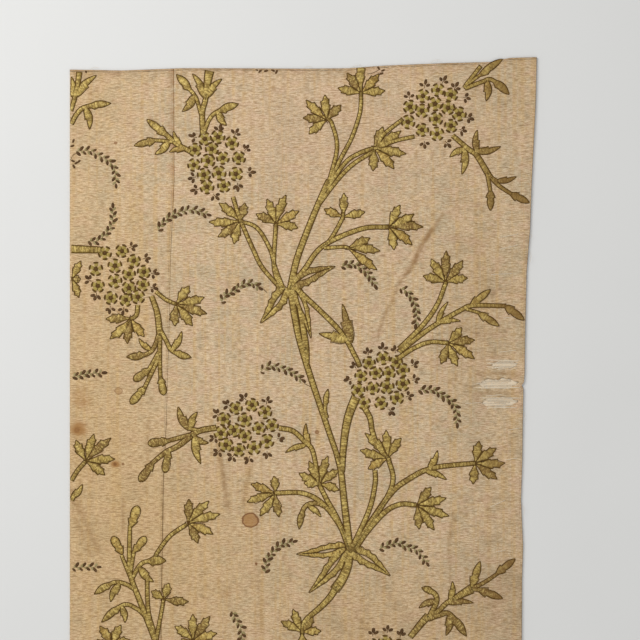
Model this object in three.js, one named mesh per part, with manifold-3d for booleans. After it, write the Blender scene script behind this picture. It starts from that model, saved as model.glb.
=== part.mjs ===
// A lined silk panel with couched metal-thread flower branches, lying face up. Millimetres, Z up.
// The pattern is laid out on a drafting grid of square cells: columns count to the right and rows
// count down, and the cell named MIDDLE is the middle of the cloth.
import * as THREE from "three";
import Module from "manifold-3d";

const wasm = await Module();
wasm.setup();

// Driving dimensions in millimetres.
const CELL = 1.45; // side of one drafting cell
const LINING_THICK = 1.0;
const LINING_INSET = 6.0; // the lining stops this far inside the silk's top and right edges
const LAY_GAP = 0.3; // between the lining and the silk
const SILK_THICK = 1.0;
const SEAM_GAP = 0.3; // between the two silk widths
const HEM_WIDTH = 2.6; // the turned top and right edges
const HEM_SLOPE = 1.2;
const HEM_DROP = 0.9; // how far the turned edges hang below the silk's underside
const THREAD_GAP = 0.4; // between the silk and the embroidery
const THREAD_THICK = 0.8;
const SWELL = 0.22; // half height of each of the two long swells of the cloth
const WAVES = [{ right: 48, up: 130 }, { right: -90, up: 62 }]; // millimetres per radian of each swell
const EDGE_LIFT = 0.8; // how far the worn right edge stands up off the lining
const EDGE_LIFT_WIDTH = 50;
const CREASE_HEIGHT = 0.5;
const CREASE_WIDTH = 4;
const CUT_REACH = 20; // how far a cutting shape reaches past the cloth, above and below
const STITCH_WIDTH = 1.6 * CELL; // carrying stitch between two florets
const FLORET_RADIUS = 7.0 * CELL;
const FLORET_TURN = 1.3; // radians that each floret is turned past the one before it
const TOUCHING = 12.6 * CELL; // florets closer than this need no carrying stitch
const RIM_SINK = 3; // cells from a floret's middle at which the stalks of its rim sprigs start
const SEED_PITCH = 4.2; // cells from one seed to the next on the other side
const SEED_REACH = 3.6; // cells from the stalk's middle to a seed's tip
const SEED_LEAN = 1.6; // cells that a seed leans towards the stalk's tip
const STALK_HALF = 0.7; // half width of a seed stalk in cells
const STALK_TIP = 3; // length of the pointed seed at the stalk's end in cells

// Grid positions of the cloth's boundary.
const MIDDLE = { column: 303.35, row: 353.5 };
const LEFT_COLUMN = 70;
const BOTTOM_ROW = 650;
const TOP_EDGE = [
  [70, 69.6], [120, 70.5], [175, 68.3], [200, 68.3], [300, 68.7], [340, 68.3],
  [376, 65.6], [429, 63.4], [480, 62], [498, 58], [536.5, 57],
];
const RIGHT_EDGE = [
  [536.7, 57], [535.7, 101], [533.7, 142], [531.6, 183], [530, 230], [526.6, 272], [525, 340],
  [521.7, 385], [522.6, 416], [522.3, 460], [521, 500], [523, 545], [522, 580], [521.6, 650],
];
const SEAM = [
  [174, 57], [174.5, 180], [170.7, 262], [169.5, 323], [166.6, 422], [163.5, 480], [162, 572], [161, 650],
];
const SPLITS = [
  { from: 496.5, to: 519, row: 365, height: 7 },
  { from: 479, to: 519.5, row: 383.5, height: 8.5 },
  { from: 484, to: 517, row: 403, height: 8.5 },
];
const CREASE = [[441, 217], [420, 249], [407, 275], [391, 302], [377, 335]];

// Spray, width at the start and at the end in cells, and the cells that the stem runs through.
const STEMS = [
  ["upper", 6.5, 5.5, [[290, 290], [297, 259], [310, 224], [323, 193], [329, 180]]],
  ["upper", 4, 3.6, [[329, 182], [337, 148], [332, 124], [327, 118]]],
  ["upper", 4, 3.6, [[329, 184], [340, 160], [352, 137], [360, 112], [361, 92]]],
  ["upper", 4, 4, [[326, 190], [345, 163], [360, 153], [374, 148]]],
  ["upper", 4, 4, [[320, 203], [335, 183], [352, 165], [374, 151]]],
  ["upper", 4, 3.6, [[378, 146], [383, 135], [399, 122]]],
  ["upper", 4, 3.6, [[374, 149], [395, 141], [411, 138]]],
  ["upper", 4, 3.6, [[283, 288], [275, 267], [270, 249], [257, 228], [240, 221]]],
  ["upper", 4, 4, [[233, 197], [240, 219], [253, 249], [262, 267], [280, 288]]],
  ["upper", 4, 4, [[281, 288], [274, 267], [276, 224]]],
  ["upper", 5, 4.5, [[290, 287], [304, 270], [323, 246], [361, 229], [389, 227]]],
  ["upper", 4, 3.6, [[320, 248], [330, 240], [342, 219], [343, 212]]],
  ["upper", 3.6, 3.2, [[324, 248], [345, 247], [349, 249]]],
  ["upper", 5, 4.5, [[293, 286], [306.5, 298], [340, 331], [355, 356]]],
  ["lower", 7, 6, [[292, 296], [296, 323], [308, 369], [325, 420], [339, 459], [344, 500], [350, 552]]],
  ["lower", 4.5, 4.5, [[352, 408], [346, 426], [343, 452], [342, 472]]],
  ["lower", 5, 4, [[279, 428], [293, 431], [305, 442], [313, 452], [319, 486]]],
  ["lower", 4.5, 5, [[319, 484], [327, 500], [338, 520], [348, 546]]],
  ["lower", 4.5, 5, [[275, 493], [302, 493], [322, 503], [340, 526], [349, 548]]],
  ["lower", 4, 4, [[370, 411], [372, 432], [388, 458]]],
  ["lower", 4.5, 5, [[388, 458], [393, 478], [387, 497], [366, 530], [352, 550]]],
  ["lower", 4.5, 5, [[375, 470], [375, 484], [369, 510], [352, 548]]],
  ["lower", 4.5, 6, [[475, 463], [432, 468], [407, 480], [391, 493], [372, 520], [354, 548]]],
  ["lower", 4.5, 6, [[416, 505], [401, 504], [386, 511], [368, 530], [354, 550]]],
  ["lower", 5, 4, [[350, 552], [341, 582], [328, 595], [302, 620], [302, 634]]],
  ["right", 4, 5, [[446, 282], [437, 305], [422, 326], [402.5, 348]]],
  ["right", 5, 4, [[404, 349], [435, 325], [461, 310], [473, 305.5], [506, 306]]],
  ["right", 4, 4.5, [[448, 343], [430, 342], [403.5, 351]]],
  ["right", 3, 3, [[466, 309], [480, 313]]],
  ["topright", 3.6, 3.6, [[465, 86], [480.8, 66]]],
  ["sidebuds", 5, 6, [[456, 139], [468, 149], [476.4, 155.2], [488.5, 175]]],
  ["sidebuds", 4.2, 3.4, [[487, 172], [490.4, 192]]],
  ["sidebuds", 4.4, 3.4, [[487, 172], [497.4, 184.5], [512, 194.7]]],
  ["sidebuds", 3.2, 3.2, [[490, 177], [498, 181.3]]],
  ["cornerleft", 5, 4.5, [[71.5, 108], [74.5, 97], [77, 90]]],
  ["seamtop", 5, 5, [[187, 149.5], [180, 146], [173, 141], [165, 133.5]]],
  ["seamtop", 3.6, 3.4, [[175, 142], [154, 140.2]]],
  ["top", 5.5, 5, [[202.3, 127], [202.3, 113], [205, 102], [206.5, 94]]],
  ["top", 3.6, 3.6, [[201.5, 116], [197, 100], [193.7, 94]]],
  ["middleleft", 5, 6.5, [[151.5, 296], [157.3, 313.2], [160, 336]]],
  ["middleleft", 4.4, 3.6, [[160, 333], [159.8, 359.6], [160.6, 379]]],
  ["middleleft", 4.2, 3.8, [[160, 355], [154, 368], [144, 389]]],
  ["middleleft", 4, 3.6, [[159, 352], [148.2, 371]]],
  ["leafc", 4, 3.6, [[156, 291.5], [166.4, 299.9], [176, 304]]],
  ["leafd", 4.4, 4, [[137.8, 305], [136.6, 314.8], [131, 319]]],
  ["lowleft", 6, 6, [[212, 428.8], [199.4, 430.8], [190.3, 436]]],
  ["lowleft", 4, 4, [[200, 431], [188, 428]]],
  ["lowleft", 4.4, 4, [[193, 434], [167, 441]]],
  ["lowleft", 6, 4, [[192, 435], [177.6, 446.2], [165.7, 452], [151, 464]]],
  ["foot", 3.6, 6.5, [[130, 525], [129.4, 554.2], [130.3, 574.5], [140.5, 602.3], [155.5, 640],
      [158, 650]]],
  ["foot", 3.4, 4, [[121.5, 555], [130, 576]]],
  ["foot", 3.4, 4, [[134, 551], [130.5, 572]]],
  ["foot", 4, 4, [[187, 524], [170.1, 535.7], [155.3, 555.1], [147, 578.3], [148.8, 613.4], [155, 634]]],
  ["foot", 3.4, 4, [[163.6, 600], [156.2, 640]]],
  ["base", 5.5, 7.5, [[410, 637], [420.7, 623.8], [428.2, 615.5]]],
  ["base", 5, 4.5, [[427, 617], [438, 611], [446.4, 603], [458, 597.2], [473, 588]]],
  ["base", 4, 3.2, [[473, 588], [485.4, 581.5], [498, 573]]],
  ["base", 3.6, 3.6, [[471, 589], [480, 590]]],
  ["edge", 8, 6, [[71.5, 249], [97, 249.5]]],
  ["leafn", 4.4, 4, [[71.5, 480.5], [78, 470], [86, 461]]],
  ["leafs", 5, 4, [[71.5, 500], [75, 494]]],
];

// Spray, width of the stem and of the leaf it ends in, and the cells from the stem's start to the tip.
const BLADES = [
  ["upper", 3.6, 7, [[344, 336], [347, 329], [343, 305]]],
  ["upper", 3.6, 7, [[344, 337], [336, 337], [318, 336]]],
  ["lower", 4, 8, [[294, 304], [300.5, 305.5], [305.5, 315], [310.5, 339]]],
  ["lower", 4.4, 7, [[330, 509], [316, 503], [304, 508], [299, 529]]],
  ["lower", 3.6, 6, [[327, 418], [325, 408], [328, 389]]],
  ["topright", 4, 9, [[465, 88.5], [482.6, 81.7], [492, 80], [509, 94.5]]],
  ["topright", 3, 8, [[463.5, 87.5], [475, 79], [499, 62]]],
  ["cornerlow", 4.5, 8, [[71.5, 124], [77, 114], [86, 107], [111, 103.4]]],
  ["top", 3.6, 9, [[196, 98], [192, 92], [176.5, 74.6]]],
  ["top", 4, 9, [[205, 127], [210.4, 119], [217, 112], [238.5, 104]]],
  ["top", 4, 8, [[206.5, 95], [207.6, 86], [211.5, 72]]],
  ["middleleft", 4.2, 8, [[160, 329], [166.4, 341], [173, 351.3], [191.3, 357.5]]],
  ["middleleft", 4.2, 8.5, [[159, 333], [154.8, 346], [147, 354], [126.6, 357]]],
  ["foot", 4, 8, [[132, 579], [140.5, 565.3], [150, 560], [165.5, 559.8]]],
  ["foot", 4, 8, [[134, 589], [125.7, 584], [113.5, 582.5], [94.3, 594]]],
  ["foot", 4, 8, [[147, 618], [136.8, 608.6], [123, 605], [101.7, 622]]],
  ["base", 5, 7.5, [[430, 615], [436.5, 601.4], [434, 593], [421.6, 587.4]]],
  ["base", 5, 9, [[428, 619], [439.8, 614.7], [450, 614.4], [466.3, 636]]],
];

// Spray, width in cells, base cell, tip cell, and the side that carries the notch.
const LEAVES = [
  ["topright", 8, [487.5, 81], [486, 101], -1],
  ["sidebuds", 7, [476.4, 153], [477.3, 130], -1],
  ["sidebuds", 7.5, [474, 152], [500.5, 146.6], 1],
  ["sidebuds", 7, [465.5, 148], [449.6, 157.2], 1],
  ["sidebuds", 8, [465, 148], [461.7, 174.5], -1],
  ["sidebuds", 6, [496, 181.5], [516, 176.8], 1],
  ["cornerleft", 7.5, [75, 94], [96.2, 75.8], -1],
  ["cornerleft", 6, [76, 93], [82.2, 72.5], 1],
  ["cornerlow", 8, [86, 107], [89.6, 129.3], -1],
  ["seamtop", 8, [170, 141.5], [155, 154.3], -1],
  ["seamtop", 6, [181, 147], [173.6, 131.4], -1],
  ["seamtop", 6.5, [185, 148.5], [169.6, 152], 1],
  ["top", 8.5, [195.5, 95], [182.5, 111.5], -1],
  ["top", 8, [205, 98], [192.6, 74], 1],
  ["top", 8, [205.5, 98], [221.8, 79.2], -1],
  ["top", 8, [217, 112], [226.5, 125.5], 1],
  ["middleleft", 7, [172, 351], [181.8, 331.4], 1],
  ["middleleft", 6, [151, 350.5], [139, 338.6], -1],
  ["lowleft", 9, [189, 430], [178.3, 406.8], -1],
  ["lowleft", 8, [189, 429.5], [197.4, 412], -1],
  ["lowleft", 9, [194.5, 434], [200.8, 463.6], 1],
  ["lowleft", 6.5, [194, 438], [208.5, 442.9], 1],
  ["right", 5.5, [436.5, 325], [448, 301.8], -1],
  ["right", 5.5, [438, 322.5], [460.4, 321], -1],
  ["foot", 8, [122.5, 557], [112.7, 537.3], -1],
  ["foot", 8, [133, 553], [144.6, 537.3], 1],
  ["foot", 7, [140, 566.5], [153.8, 581.7], 1],
  ["foot", 8, [119.5, 583], [110.7, 601.6], 1],
  ["foot", 7, [122, 606], [125, 622.4], -1],
  ["base", 7, [436.5, 600], [419, 607.8], 1],
  ["base", 6.5, [450, 601], [452.3, 581.3], 1],
  ["base", 6.5, [447, 603], [473.2, 602.7], -1],
  ["base", 8, [450, 614], [446, 635.2], -1],
  ["leafs", 7, [72, 498], [82.5, 484.5], 1],
  ["lower", 6, [308, 505], [321, 517], -1],
  ["lower", 6.5, [309, 447], [306, 423.5], -1],
  ["lower", 6, [306.5, 444.5], [285.5, 452.5], 1],
  ["lower", 7, [428.5, 470], [437.4, 450.5], 1],
  ["lower", 6.5, [425, 470.5], [446.4, 479.5], -1],
];

// Broad leaves at the two branchings: spray, width in cells, base cell and tip cell.
const BROAD_LEAVES = [
  ["upper", 15, [286, 287], [260.5, 323]],
  ["upper", 15, [292, 285], [335, 266.5]],
  ["lower", 15, [347, 545], [296, 554.5]],
  ["lower", 14, [349, 552], [309, 593.5]],
  ["lower", 15, [351, 553], [390, 577]],
];

// Spray, width in cells, base cell and tip cell.
const BUDS = [
  ["sidebuds", 8, [490.4, 190], [490.4, 210.5]],
  ["sidebuds", 8, [510, 193.5], [529, 202.8]],
  ["right", 8, [470, 306], [490.4, 289.6]],
  ["right", 8, [478, 312.5], [499, 326]],
  ["right", 8.5, [504.5, 305.5], [524, 320]],
  ["seamtop", 8.5, [167, 135.5], [147, 119.6]],
  ["seamtop", 8, [156, 140], [134.4, 145.7]],
  ["middleleft", 8, [160.5, 376.5], [164, 395]],
  ["middleleft", 8.5, [146, 386], [130.6, 403.8]],
  ["middleleft", 8.5, [150, 368.5], [133.8, 380.6]],
  ["lowleft", 9, [169, 440.7], [148, 443.5]],
  ["lowleft", 9, [153.5, 462], [139.4, 481.5]],
  ["lowleft", 8.5, [169, 449.5], [164.8, 472.7]],
  ["foot", 8.5, [130, 527], [137.9, 505.8]],
  ["base", 8.5, [471.5, 587], [480, 561.4]],
  ["base", 8, [496, 574], [515, 558.8]],
  ["base", 8.5, [477.5, 589], [502.4, 598.3]],
];

// Spray, width of a lobe in cells, the cell the lobes spring from, and the cell of each lobe's tip.
const PALMS = [
  ["upper", 9.5, [327, 120], [[303, 118], [306, 100], [325, 95], [341, 105], [309, 134]]],
  ["upper", 9.5, [361, 93], [[361, 66.5], [347, 73], [338, 88], [379, 74], [385, 91]]],
  ["upper", 10, [374, 148], [[383, 127], [406, 154], [394, 169], [373, 171], [401, 131]]],
  ["upper", 9.5, [240, 221], [[219, 203], [209, 222], [218, 237], [234, 244], [245, 203]]],
  ["upper", 9.5, [276, 224], [[256, 214], [267, 199], [286, 195], [299, 211], [298, 228]]],
  ["upper", 9, [343, 217], [[324, 209], [344, 193], [365, 212]]],
  ["upper", 9.5, [389, 227], [[400, 205], [414, 214], [423, 227], [412, 245], [394, 250]]],
  ["upper", 9.5, [348, 248], [[370, 238], [380, 251], [377, 270]]],
  ["right", 9.5, [445.5, 282], [[446.3, 250.8], [431, 259], [462.8, 260.5], [423, 276], [467.5, 278]]],
  ["right", 9.5, [448, 343], [[461.7, 327.5], [474.5, 340], [474.5, 359], [457.4, 366], [441, 363.8]]],
  ["leafc", 10, [176.4, 304], [[189.4, 286], [204.3, 297.3], [207, 313.8], [192.4, 326], [175, 326]]],
  ["leafd", 9.5, [131, 318.5], [[106, 319], [110, 339], [127.4, 343.6], [144.2, 336.6]]],
  ["leafn", 9.5, [86, 461], [[76, 440], [94, 434], [111, 438], [115, 459], [105, 475]]],
  ["lower", 9, [320, 484], [[309, 461], [328, 456], [299, 473], [339, 470], [304, 483], [339, 490]]],
  ["lower", 9, [275, 493], [[251, 484], [247, 502], [260, 516], [279, 517], [274, 476]]],
  ["lower", 9.5, [388, 458], [[365, 433], [386, 430], [401, 438], [360, 450], [368, 469]]],
  ["lower", 9.5, [475, 463], [[479, 441], [496, 448], [505, 463], [497, 479], [473, 484]]],
  ["lower", 9.5, [417, 505], [[431, 487], [446, 498], [449, 516], [434, 530], [419, 529]]],
  ["foot", 9.5, [188, 523], [[189, 499], [209, 501], [220, 514], [213, 534], [198, 543]]],
  ["foot", 9, [164, 599], [[151.5, 591], [169, 583], [188.5, 601.5]]],
  ["lower", 9, [302, 632], [[293, 609], [281, 621], [313, 617], [321, 631], [303, 649]]],
  ["leafu", 9.5, [193, 640], [[175, 626], [193, 614], [210, 616], [217, 633], [176, 646]]],
  ["leafw", 9.5, [112, 645], [[100, 626], [121, 625], [130, 640], [92, 643]]],
  ["leafe", 8, [72, 279], [[81, 261], [80.5, 279], [79, 297.5]]],
];

// Florets of each flower head, and the three-petalled sprigs round its rim.
const HEADS = [
  {
    node: "head_1",
    florets: [
      [218, 137], [232, 143], [205, 139], [195, 150], [212, 149], [223, 158], [239, 158], [208, 161],
      [194, 165],
      [219, 173], [236, 174], [204, 175], [207, 187], [224, 186],
    ],
    rim: [
      [219.5, 128], [236, 132], [247, 148], [251, 172], [192, 178], [193, 137], [195, 190],
      [216, 197], [238, 187],
    ],
  },
  {
    node: "head_2",
    florets: [
      [410, 107], [423, 96], [438, 90], [451, 95], [435, 104], [448, 108], [459, 114], [422, 111],
      [436, 119],
      [408, 122], [451, 126], [422, 130], [437, 134],
    ],
    rim: [
      [409, 95], [425, 84], [444, 80], [456, 86], [467, 98], [470, 119], [463, 131], [448, 144],
      [425, 145],
    ],
  },
  {
    node: "head_3",
    florets: [
      [105, 253], [122, 251], [134, 261], [96, 269], [115, 266], [129, 274], [144, 272], [98, 286],
      [115, 281],
      [129, 288], [143, 285], [111, 298], [126, 300], [138, 297],
    ],
    rim: [[133, 246], [147, 258], [155, 274], [154, 288], [123, 311], [110, 310], [96, 297], [88, 279]],
  },
  {
    node: "head_4",
    florets: [
      [252, 405], [236, 408], [265, 412], [224, 419], [245, 420], [259, 428], [272, 425], [234, 430],
      [221, 433],
      [245, 436], [226, 445], [254, 448], [267, 441], [239, 450],
    ],
    rim: [
      [243, 397], [226, 404], [267, 400], [216, 413], [213, 439], [217, 453], [231, 458], [248, 460],
      [267, 455],
      [281, 438],
    ],
  },
  {
    node: "head_5",
    florets: [
      [369, 363], [383, 358], [396, 362], [361, 376], [376, 373], [389, 373], [403, 370], [358, 390],
      [373, 388],
      [387, 387], [403, 384], [364, 403], [381, 403], [397, 398],
    ],
    rim: [
      [368, 351], [383, 347], [395, 349], [354, 365], [348, 380], [415, 364], [416, 379], [410, 396],
      [392, 412],
    ],
  },
  {
    node: "head_6",
    florets: [[385, 642], [372, 645], [398, 646]],
    rim: [[373, 632], [388, 629], [401, 633]],
  },
];

// Stalks that carry small seeds on alternate sides, from the branch end to the tip.
const SEED_SPRIGS = [
  [[76, 151.5], [90, 151], [100, 156], [110, 162], [115, 170], [116, 183]],
  [[158, 231], [162, 224], [170, 217], [180, 212], [193, 210], [206, 214]],
  [[88, 241], [97, 241], [105, 235], [111, 227], [113, 219], [113, 209]],
  [[221, 303], [226, 295], [235, 290], [242, 285], [251, 283], [258, 287]],
  [[341, 267], [351, 264], [361, 268], [369, 275], [374, 284]],
  [[405.5, 291], [410, 295], [414, 302], [417, 313], [416, 323]],
  [[72, 377], [86, 374], [101, 373]],
  [[260, 372], [269, 366], [280, 368], [289, 371], [301, 379]],
  [[418, 390], [433, 390], [442, 395], [451, 401], [456, 409], [457, 422]],
  [[72, 568], [84, 567], [96, 567]],
  [[265, 573], [267, 561], [273, 552], [281, 545], [292, 542]],
  [[379, 549], [388, 545], [398, 543], [407, 547], [418, 551], [426, 562]],
  [[232, 611], [236, 619], [241, 628], [242, 640]],
];

const SILK_BASE = LINING_THICK + LAY_GAP;
const SILK_TOP = SILK_BASE + SILK_THICK;
const THREAD_BASE = SILK_TOP + THREAD_GAP;
const THREAD_TOP = THREAD_BASE + THREAD_THICK;

const SILK_COLOUR = new THREE.MeshStandardMaterial({ color: 0xc8ab82, roughness: 0.6 });
const LINING_COLOUR = new THREE.MeshStandardMaterial({ color: 0xd3c4a6, roughness: 0.9 });
const GOLD_COLOUR = new THREE.MeshStandardMaterial({ color: 0x9c8a3c, roughness: 0.5, metalness: 0.3 });
const FLORET_COLOUR = new THREE.MeshStandardMaterial({ color: 0x8a7c3e, roughness: 0.7 });
const SEED_COLOUR = new THREE.MeshStandardMaterial({ color: 0x4a3a22, roughness: 0.8 });

// Millimetre position of a cell.
const at = ([column, row]) => new THREE.Vector2((column - MIDDLE.column) * CELL, (MIDDLE.row - row) * CELL);

// Reads a boundary line at a station on one axis (0 column, 1 row) and returns the other coordinate.
function along(line, station, axis) {
  const other = 1 - axis;
  const after = line.findIndex((p) => p[axis] >= station);
  if (after === 0) return line[0][other];
  if (after < 0) return line[line.length - 1][other];
  const [a, b] = [line[after - 1], line[after]];
  return a[other] + ((b[other] - a[other]) * (station - a[axis])) / (b[axis] - a[axis]);
}

// Height of the cloth above its lowest lie at a millimetre position.
function relief(x, y) {
  const swells = WAVES.map((wave) => SWELL * (1 + Math.sin(x / wave.right + y / wave.up)));
  const edge = (along(RIGHT_EDGE, MIDDLE.row - y / CELL, 1) - MIDDLE.column) * CELL;
  return swells[0] + swells[1] + EDGE_LIFT * Math.max(0, 1 - (edge - x) / EDGE_LIFT_WIDTH);
}

function solidFromArrays(positions, triangles) {
  const vertProperties = new Float32Array(positions);
  const triVerts = new Uint32Array(triangles);
  return new wasm.Manifold(new wasm.Mesh({ numProp: 3, vertProperties, triVerts }));
}

// Upright prism over a closed outline of millimetre points, between two levels; lift raises each point.
function prism(outline, bottom, top, lift = () => 0) {
  const points = THREE.ShapeUtils.area(outline) < 0 ? [...outline].reverse() : outline;
  const count = points.length;
  const positions = [bottom, top].flatMap((z) => points.flatMap((p) => [p.x, p.y, z + lift(p.x, p.y)]));
  const triangles = [];
  for (const [a, b, c] of THREE.ShapeUtils.triangulateShape(points, [])) {
    triangles.push(a, c, b, a + count, b + count, c + count);
  }
  for (let i = 0; i < count; i += 1) {
    const j = (i + 1) % count;
    triangles.push(i, j, j + count, i, j + count, i + count);
  }
  return solidFromArrays(positions, triangles);
}

// Sheet over a grid; place(u, v) gives x, y, underside and top at each pair of stations from 0 to 1.
function sheet(uStations, vStations, place) {
  const positions = [];
  const triangles = [];
  const columns = uStations.length - 1;
  const rows = vStations.length - 1;
  const stride = columns + 1;
  const layer = stride * (rows + 1);
  for (const side of ["bottom", "top"]) {
    for (const v of vStations) {
      for (const u of uStations) {
        const p = place(u, v);
        positions.push(p.x, p.y, p[side]);
      }
    }
  }
  const quad = (a, b, c, d) => triangles.push(a, b, c, a, c, d);
  for (let row = 0; row < rows; row += 1) {
    for (let column = 0; column < columns; column += 1) {
      const a = row * stride + column;
      quad(a, a + stride, a + stride + 1, a + 1);
      quad(a + layer, a + 1 + layer, a + stride + 1 + layer, a + stride + layer);
    }
    const left = row * stride;
    const right = left + columns;
    quad(left, left + layer, left + stride + layer, left + stride);
    quad(right, right + stride, right + stride + layer, right + layer);
  }
  for (let column = 0; column < columns; column += 1) {
    const near = column;
    const far = rows * stride + column;
    quad(near, near + 1, near + 1 + layer, near + layer);
    quad(far, far + layer, far + 1 + layer, far + 1);
  }
  return solidFromArrays(positions, triangles);
}

// Even stations from 0 up to the given millimetre distances from the end at 1, which follow them.
function stations(count, length, distances = []) {
  const ends = [...distances, 0].map((d) => 1 - d / length);
  return [...Array.from({ length: count }, (unused, i) => (i / count) * ends[0]), ...ends];
}

// Grid place of a cloth between two boundary columns; u runs left to right and v from the foot up.
function clothPlace(leftLine, rightLine, inset, heights) {
  return (u, v) => {
    const middle = leftLine(MIDDLE.row) + (rightLine(MIDDLE.row) - leftLine(MIDDLE.row)) * u;
    const top = along(TOP_EDGE, middle, 0) + inset / CELL;
    const row = BOTTOM_ROW + (top - BOTTOM_ROW) * v;
    const column = leftLine(row) + (rightLine(row) - leftLine(row)) * u;
    const p = at([column, row]);
    return { x: p.x, y: p.y, ...heights(p.x, p.y, u, v) };
  };
}

// Points down the left side and back up the right side of a path whose width changes on the way.
function strip(path, widths) {
  const left = [];
  const right = [];
  path.forEach((p, i) => {
    const before = path[Math.max(i - 1, 0)];
    const after = path[Math.min(i + 1, path.length - 1)];
    const run = after.clone().sub(before).normalize();
    const side = new THREE.Vector2(-run.y, run.x).multiplyScalar(widths[i] / 2);
    left.push(p.clone().add(side));
    if (widths[i] > 0) right.unshift(p.clone().sub(side));
  });
  return [...left, ...right];
}

function stemOutline(from, to, cells) {
  const path = cells.map(at);
  return strip(path, path.map((p, i) => (from + ((to - from) * i) / (path.length - 1)) * CELL));
}

// Leaf of a blade: share of the path's last leg, cells that it bends outwards, share of the leaf's width.
const BLADE_LEAF = [[0.4, 0.8, 1], [0.75, 0.5, 0.7], [1, 0, 0]];

// A stem that swells into a leaf over the last leg of its path.
function bladeOutline(stem, leaf, cells) {
  const path = cells.map(at);
  const last = path.pop();
  const [before, joint] = path.slice(-2);
  const bend = joint.clone().sub(before).normalize().multiplyScalar(CELL);
  const leafPoint = ([share, out]) => joint.clone().lerp(last, share).addScaledVector(bend, out);
  const widths = [...path.map(() => stem), ...BLADE_LEAF.map(([, , share]) => share * leaf)];
  return strip([...path, ...BLADE_LEAF.map(leafPoint)], widths.map((width) => width * CELL));
}

// Shape drawn on the line from base to tip; each profile row is the share of the length and of the width.
function petalOutline(base, tip, width, leftProfile, rightProfile) {
  const axis = tip.clone().sub(base);
  const side = new THREE.Vector2(-axis.y, axis.x).normalize().multiplyScalar(width * CELL);
  const place = (share, offset) => base.clone().addScaledVector(axis, share).addScaledVector(side, offset);
  const left = leftProfile.map(([share, offset]) => place(share, offset));
  const right = rightProfile.map(([share, offset]) => place(share, -offset)).reverse();
  return [...left, tip.clone(), ...right];
}

const NOTCHED = [[0, 0.16], [0.34, 0.45], [0.62, 0.52], [0.68, 0.3]];
const PLAIN = [[0, 0.16], [0.36, 0.44], [0.72, 0.34]];
const BROAD = [[0, 0.2], [0.2, 0.46], [0.42, 0.46], [0.62, 0.28]];
const LOBE = [[0, 0.14], [0.66, 0.5], [0.74, 0.26]];
const BUD = [[0, 0.2], [0.2, 0.5], [0.42, 0.6], [0.44, 0.4], [0.76, 0.38]];

const floretOutline = (centre, turn) =>
  Array.from({ length: 6 }, (unused, i) => {
    const angle = turn + (i * Math.PI) / 3;
    return new THREE.Vector2(Math.cos(angle), Math.sin(angle)).multiplyScalar(FLORET_RADIUS).add(centre);
  });

// Three short petals that point away from the nearest floret, on a stalk that reaches back into it.
function rimOutline(centre, floret) {
  const away = centre.clone().sub(floret);
  const outward = away.angle();
  const back = centre.distanceTo(floret) / CELL - RIM_SINK;
  const spokes = [
    { reach: back, turn: -3.0 },
    { reach: 4.4, turn: -1.15 },
    { reach: 1.5, turn: -0.5 },
    { reach: 4.6, turn: 0 },
    { reach: 1.5, turn: 0.5 },
    { reach: 4.4, turn: 1.15 },
    { reach: back, turn: 3.0 },
  ];
  return spokes.map(({ reach, turn }) => {
    const angle = outward + turn;
    return new THREE.Vector2(Math.cos(angle), Math.sin(angle)).multiplyScalar(reach * CELL).add(centre);
  });
}

// A stalk with a row of seeds: teeth that lean forward, on alternate sides.
function seedOutline(cells) {
  const curve = new THREE.SplineCurve(cells.map(at));
  const count = Math.round(curve.getLength() / (SEED_PITCH * CELL));
  const left = [];
  const right = [];
  for (let i = 0; i <= count; i += 1) {
    const p = curve.getPointAt(i / count);
    const run = curve.getTangentAt(i / count);
    const side = new THREE.Vector2(-run.y, run.x);
    const beside = (across, ahead) =>
      p.clone().addScaledVector(side, across * CELL).addScaledVector(run, ahead * CELL);
    left.push(beside(STALK_HALF, 0));
    right.unshift(beside(-STALK_HALF, 0));
    if (i % 2 === 0 && i < count) left.push(beside(SEED_REACH, SEED_LEAN));
    if (i % 2 === 1 && i < count) right.unshift(beside(-SEED_REACH, SEED_LEAN));
  }
  const tip = curve.getPointAt(1).addScaledVector(curve.getTangentAt(1), STALK_TIP * CELL);
  return [...left, tip, ...right];
}

const raised = (outline) => prism(outline, THREAD_BASE, THREAD_TOP);
const joined = (solids) => solids.reduce((a, b) => a.add(b));

// Shortest set of carrying stitches that links every point of a list to the first.
function carryingStitches(points) {
  const linked = [points[0]];
  const waiting = points.slice(1);
  const stitches = [];
  while (waiting.length) {
    let best = { length: Infinity };
    for (const from of linked) {
      for (const to of waiting) {
        const length = from.distanceTo(to);
        if (length < best.length) best = { length, from, to };
      }
    }
    if (best.length > TOUCHING) stitches.push(strip([best.from, best.to], [STITCH_WIDTH, STITCH_WIDTH]));
    linked.push(best.to);
    waiting.splice(waiting.indexOf(best.to), 1);
  }
  return stitches;
}

// Outlines of one flower head: florets, rim sprigs and the stitches that carry the thread between them.
function headOutlines(head) {
  const florets = head.florets.map(at);
  const nearest = (p) => florets.reduce((a, b) => (p.distanceTo(a) < p.distanceTo(b) ? a : b));
  return [
    ...florets.map((p, i) => floretOutline(p, i * FLORET_TURN)),
    ...head.rim.map(at).map((p) => rimOutline(p, nearest(p))),
    ...carryingStitches(florets),
  ];
}

// Embroidery stops one cell inside the cloth's outline.
function clothWindow() {
  const right = RIGHT_EDGE.map(([column, row]) => at([column - 1, Math.min(row + 1, BOTTOM_ROW - 1)]));
  const top = TOP_EDGE.slice(0, -1).map(([column, row]) => at([Math.max(column, LEFT_COLUMN + 1), row + 1]));
  const foot = at([LEFT_COLUMN + 1, BOTTOM_ROW - 1]);
  return prism([foot, ...right.reverse(), ...top.reverse()], -CUT_REACH, CUT_REACH);
}
const CLOTH_WINDOW = clothWindow();

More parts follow.
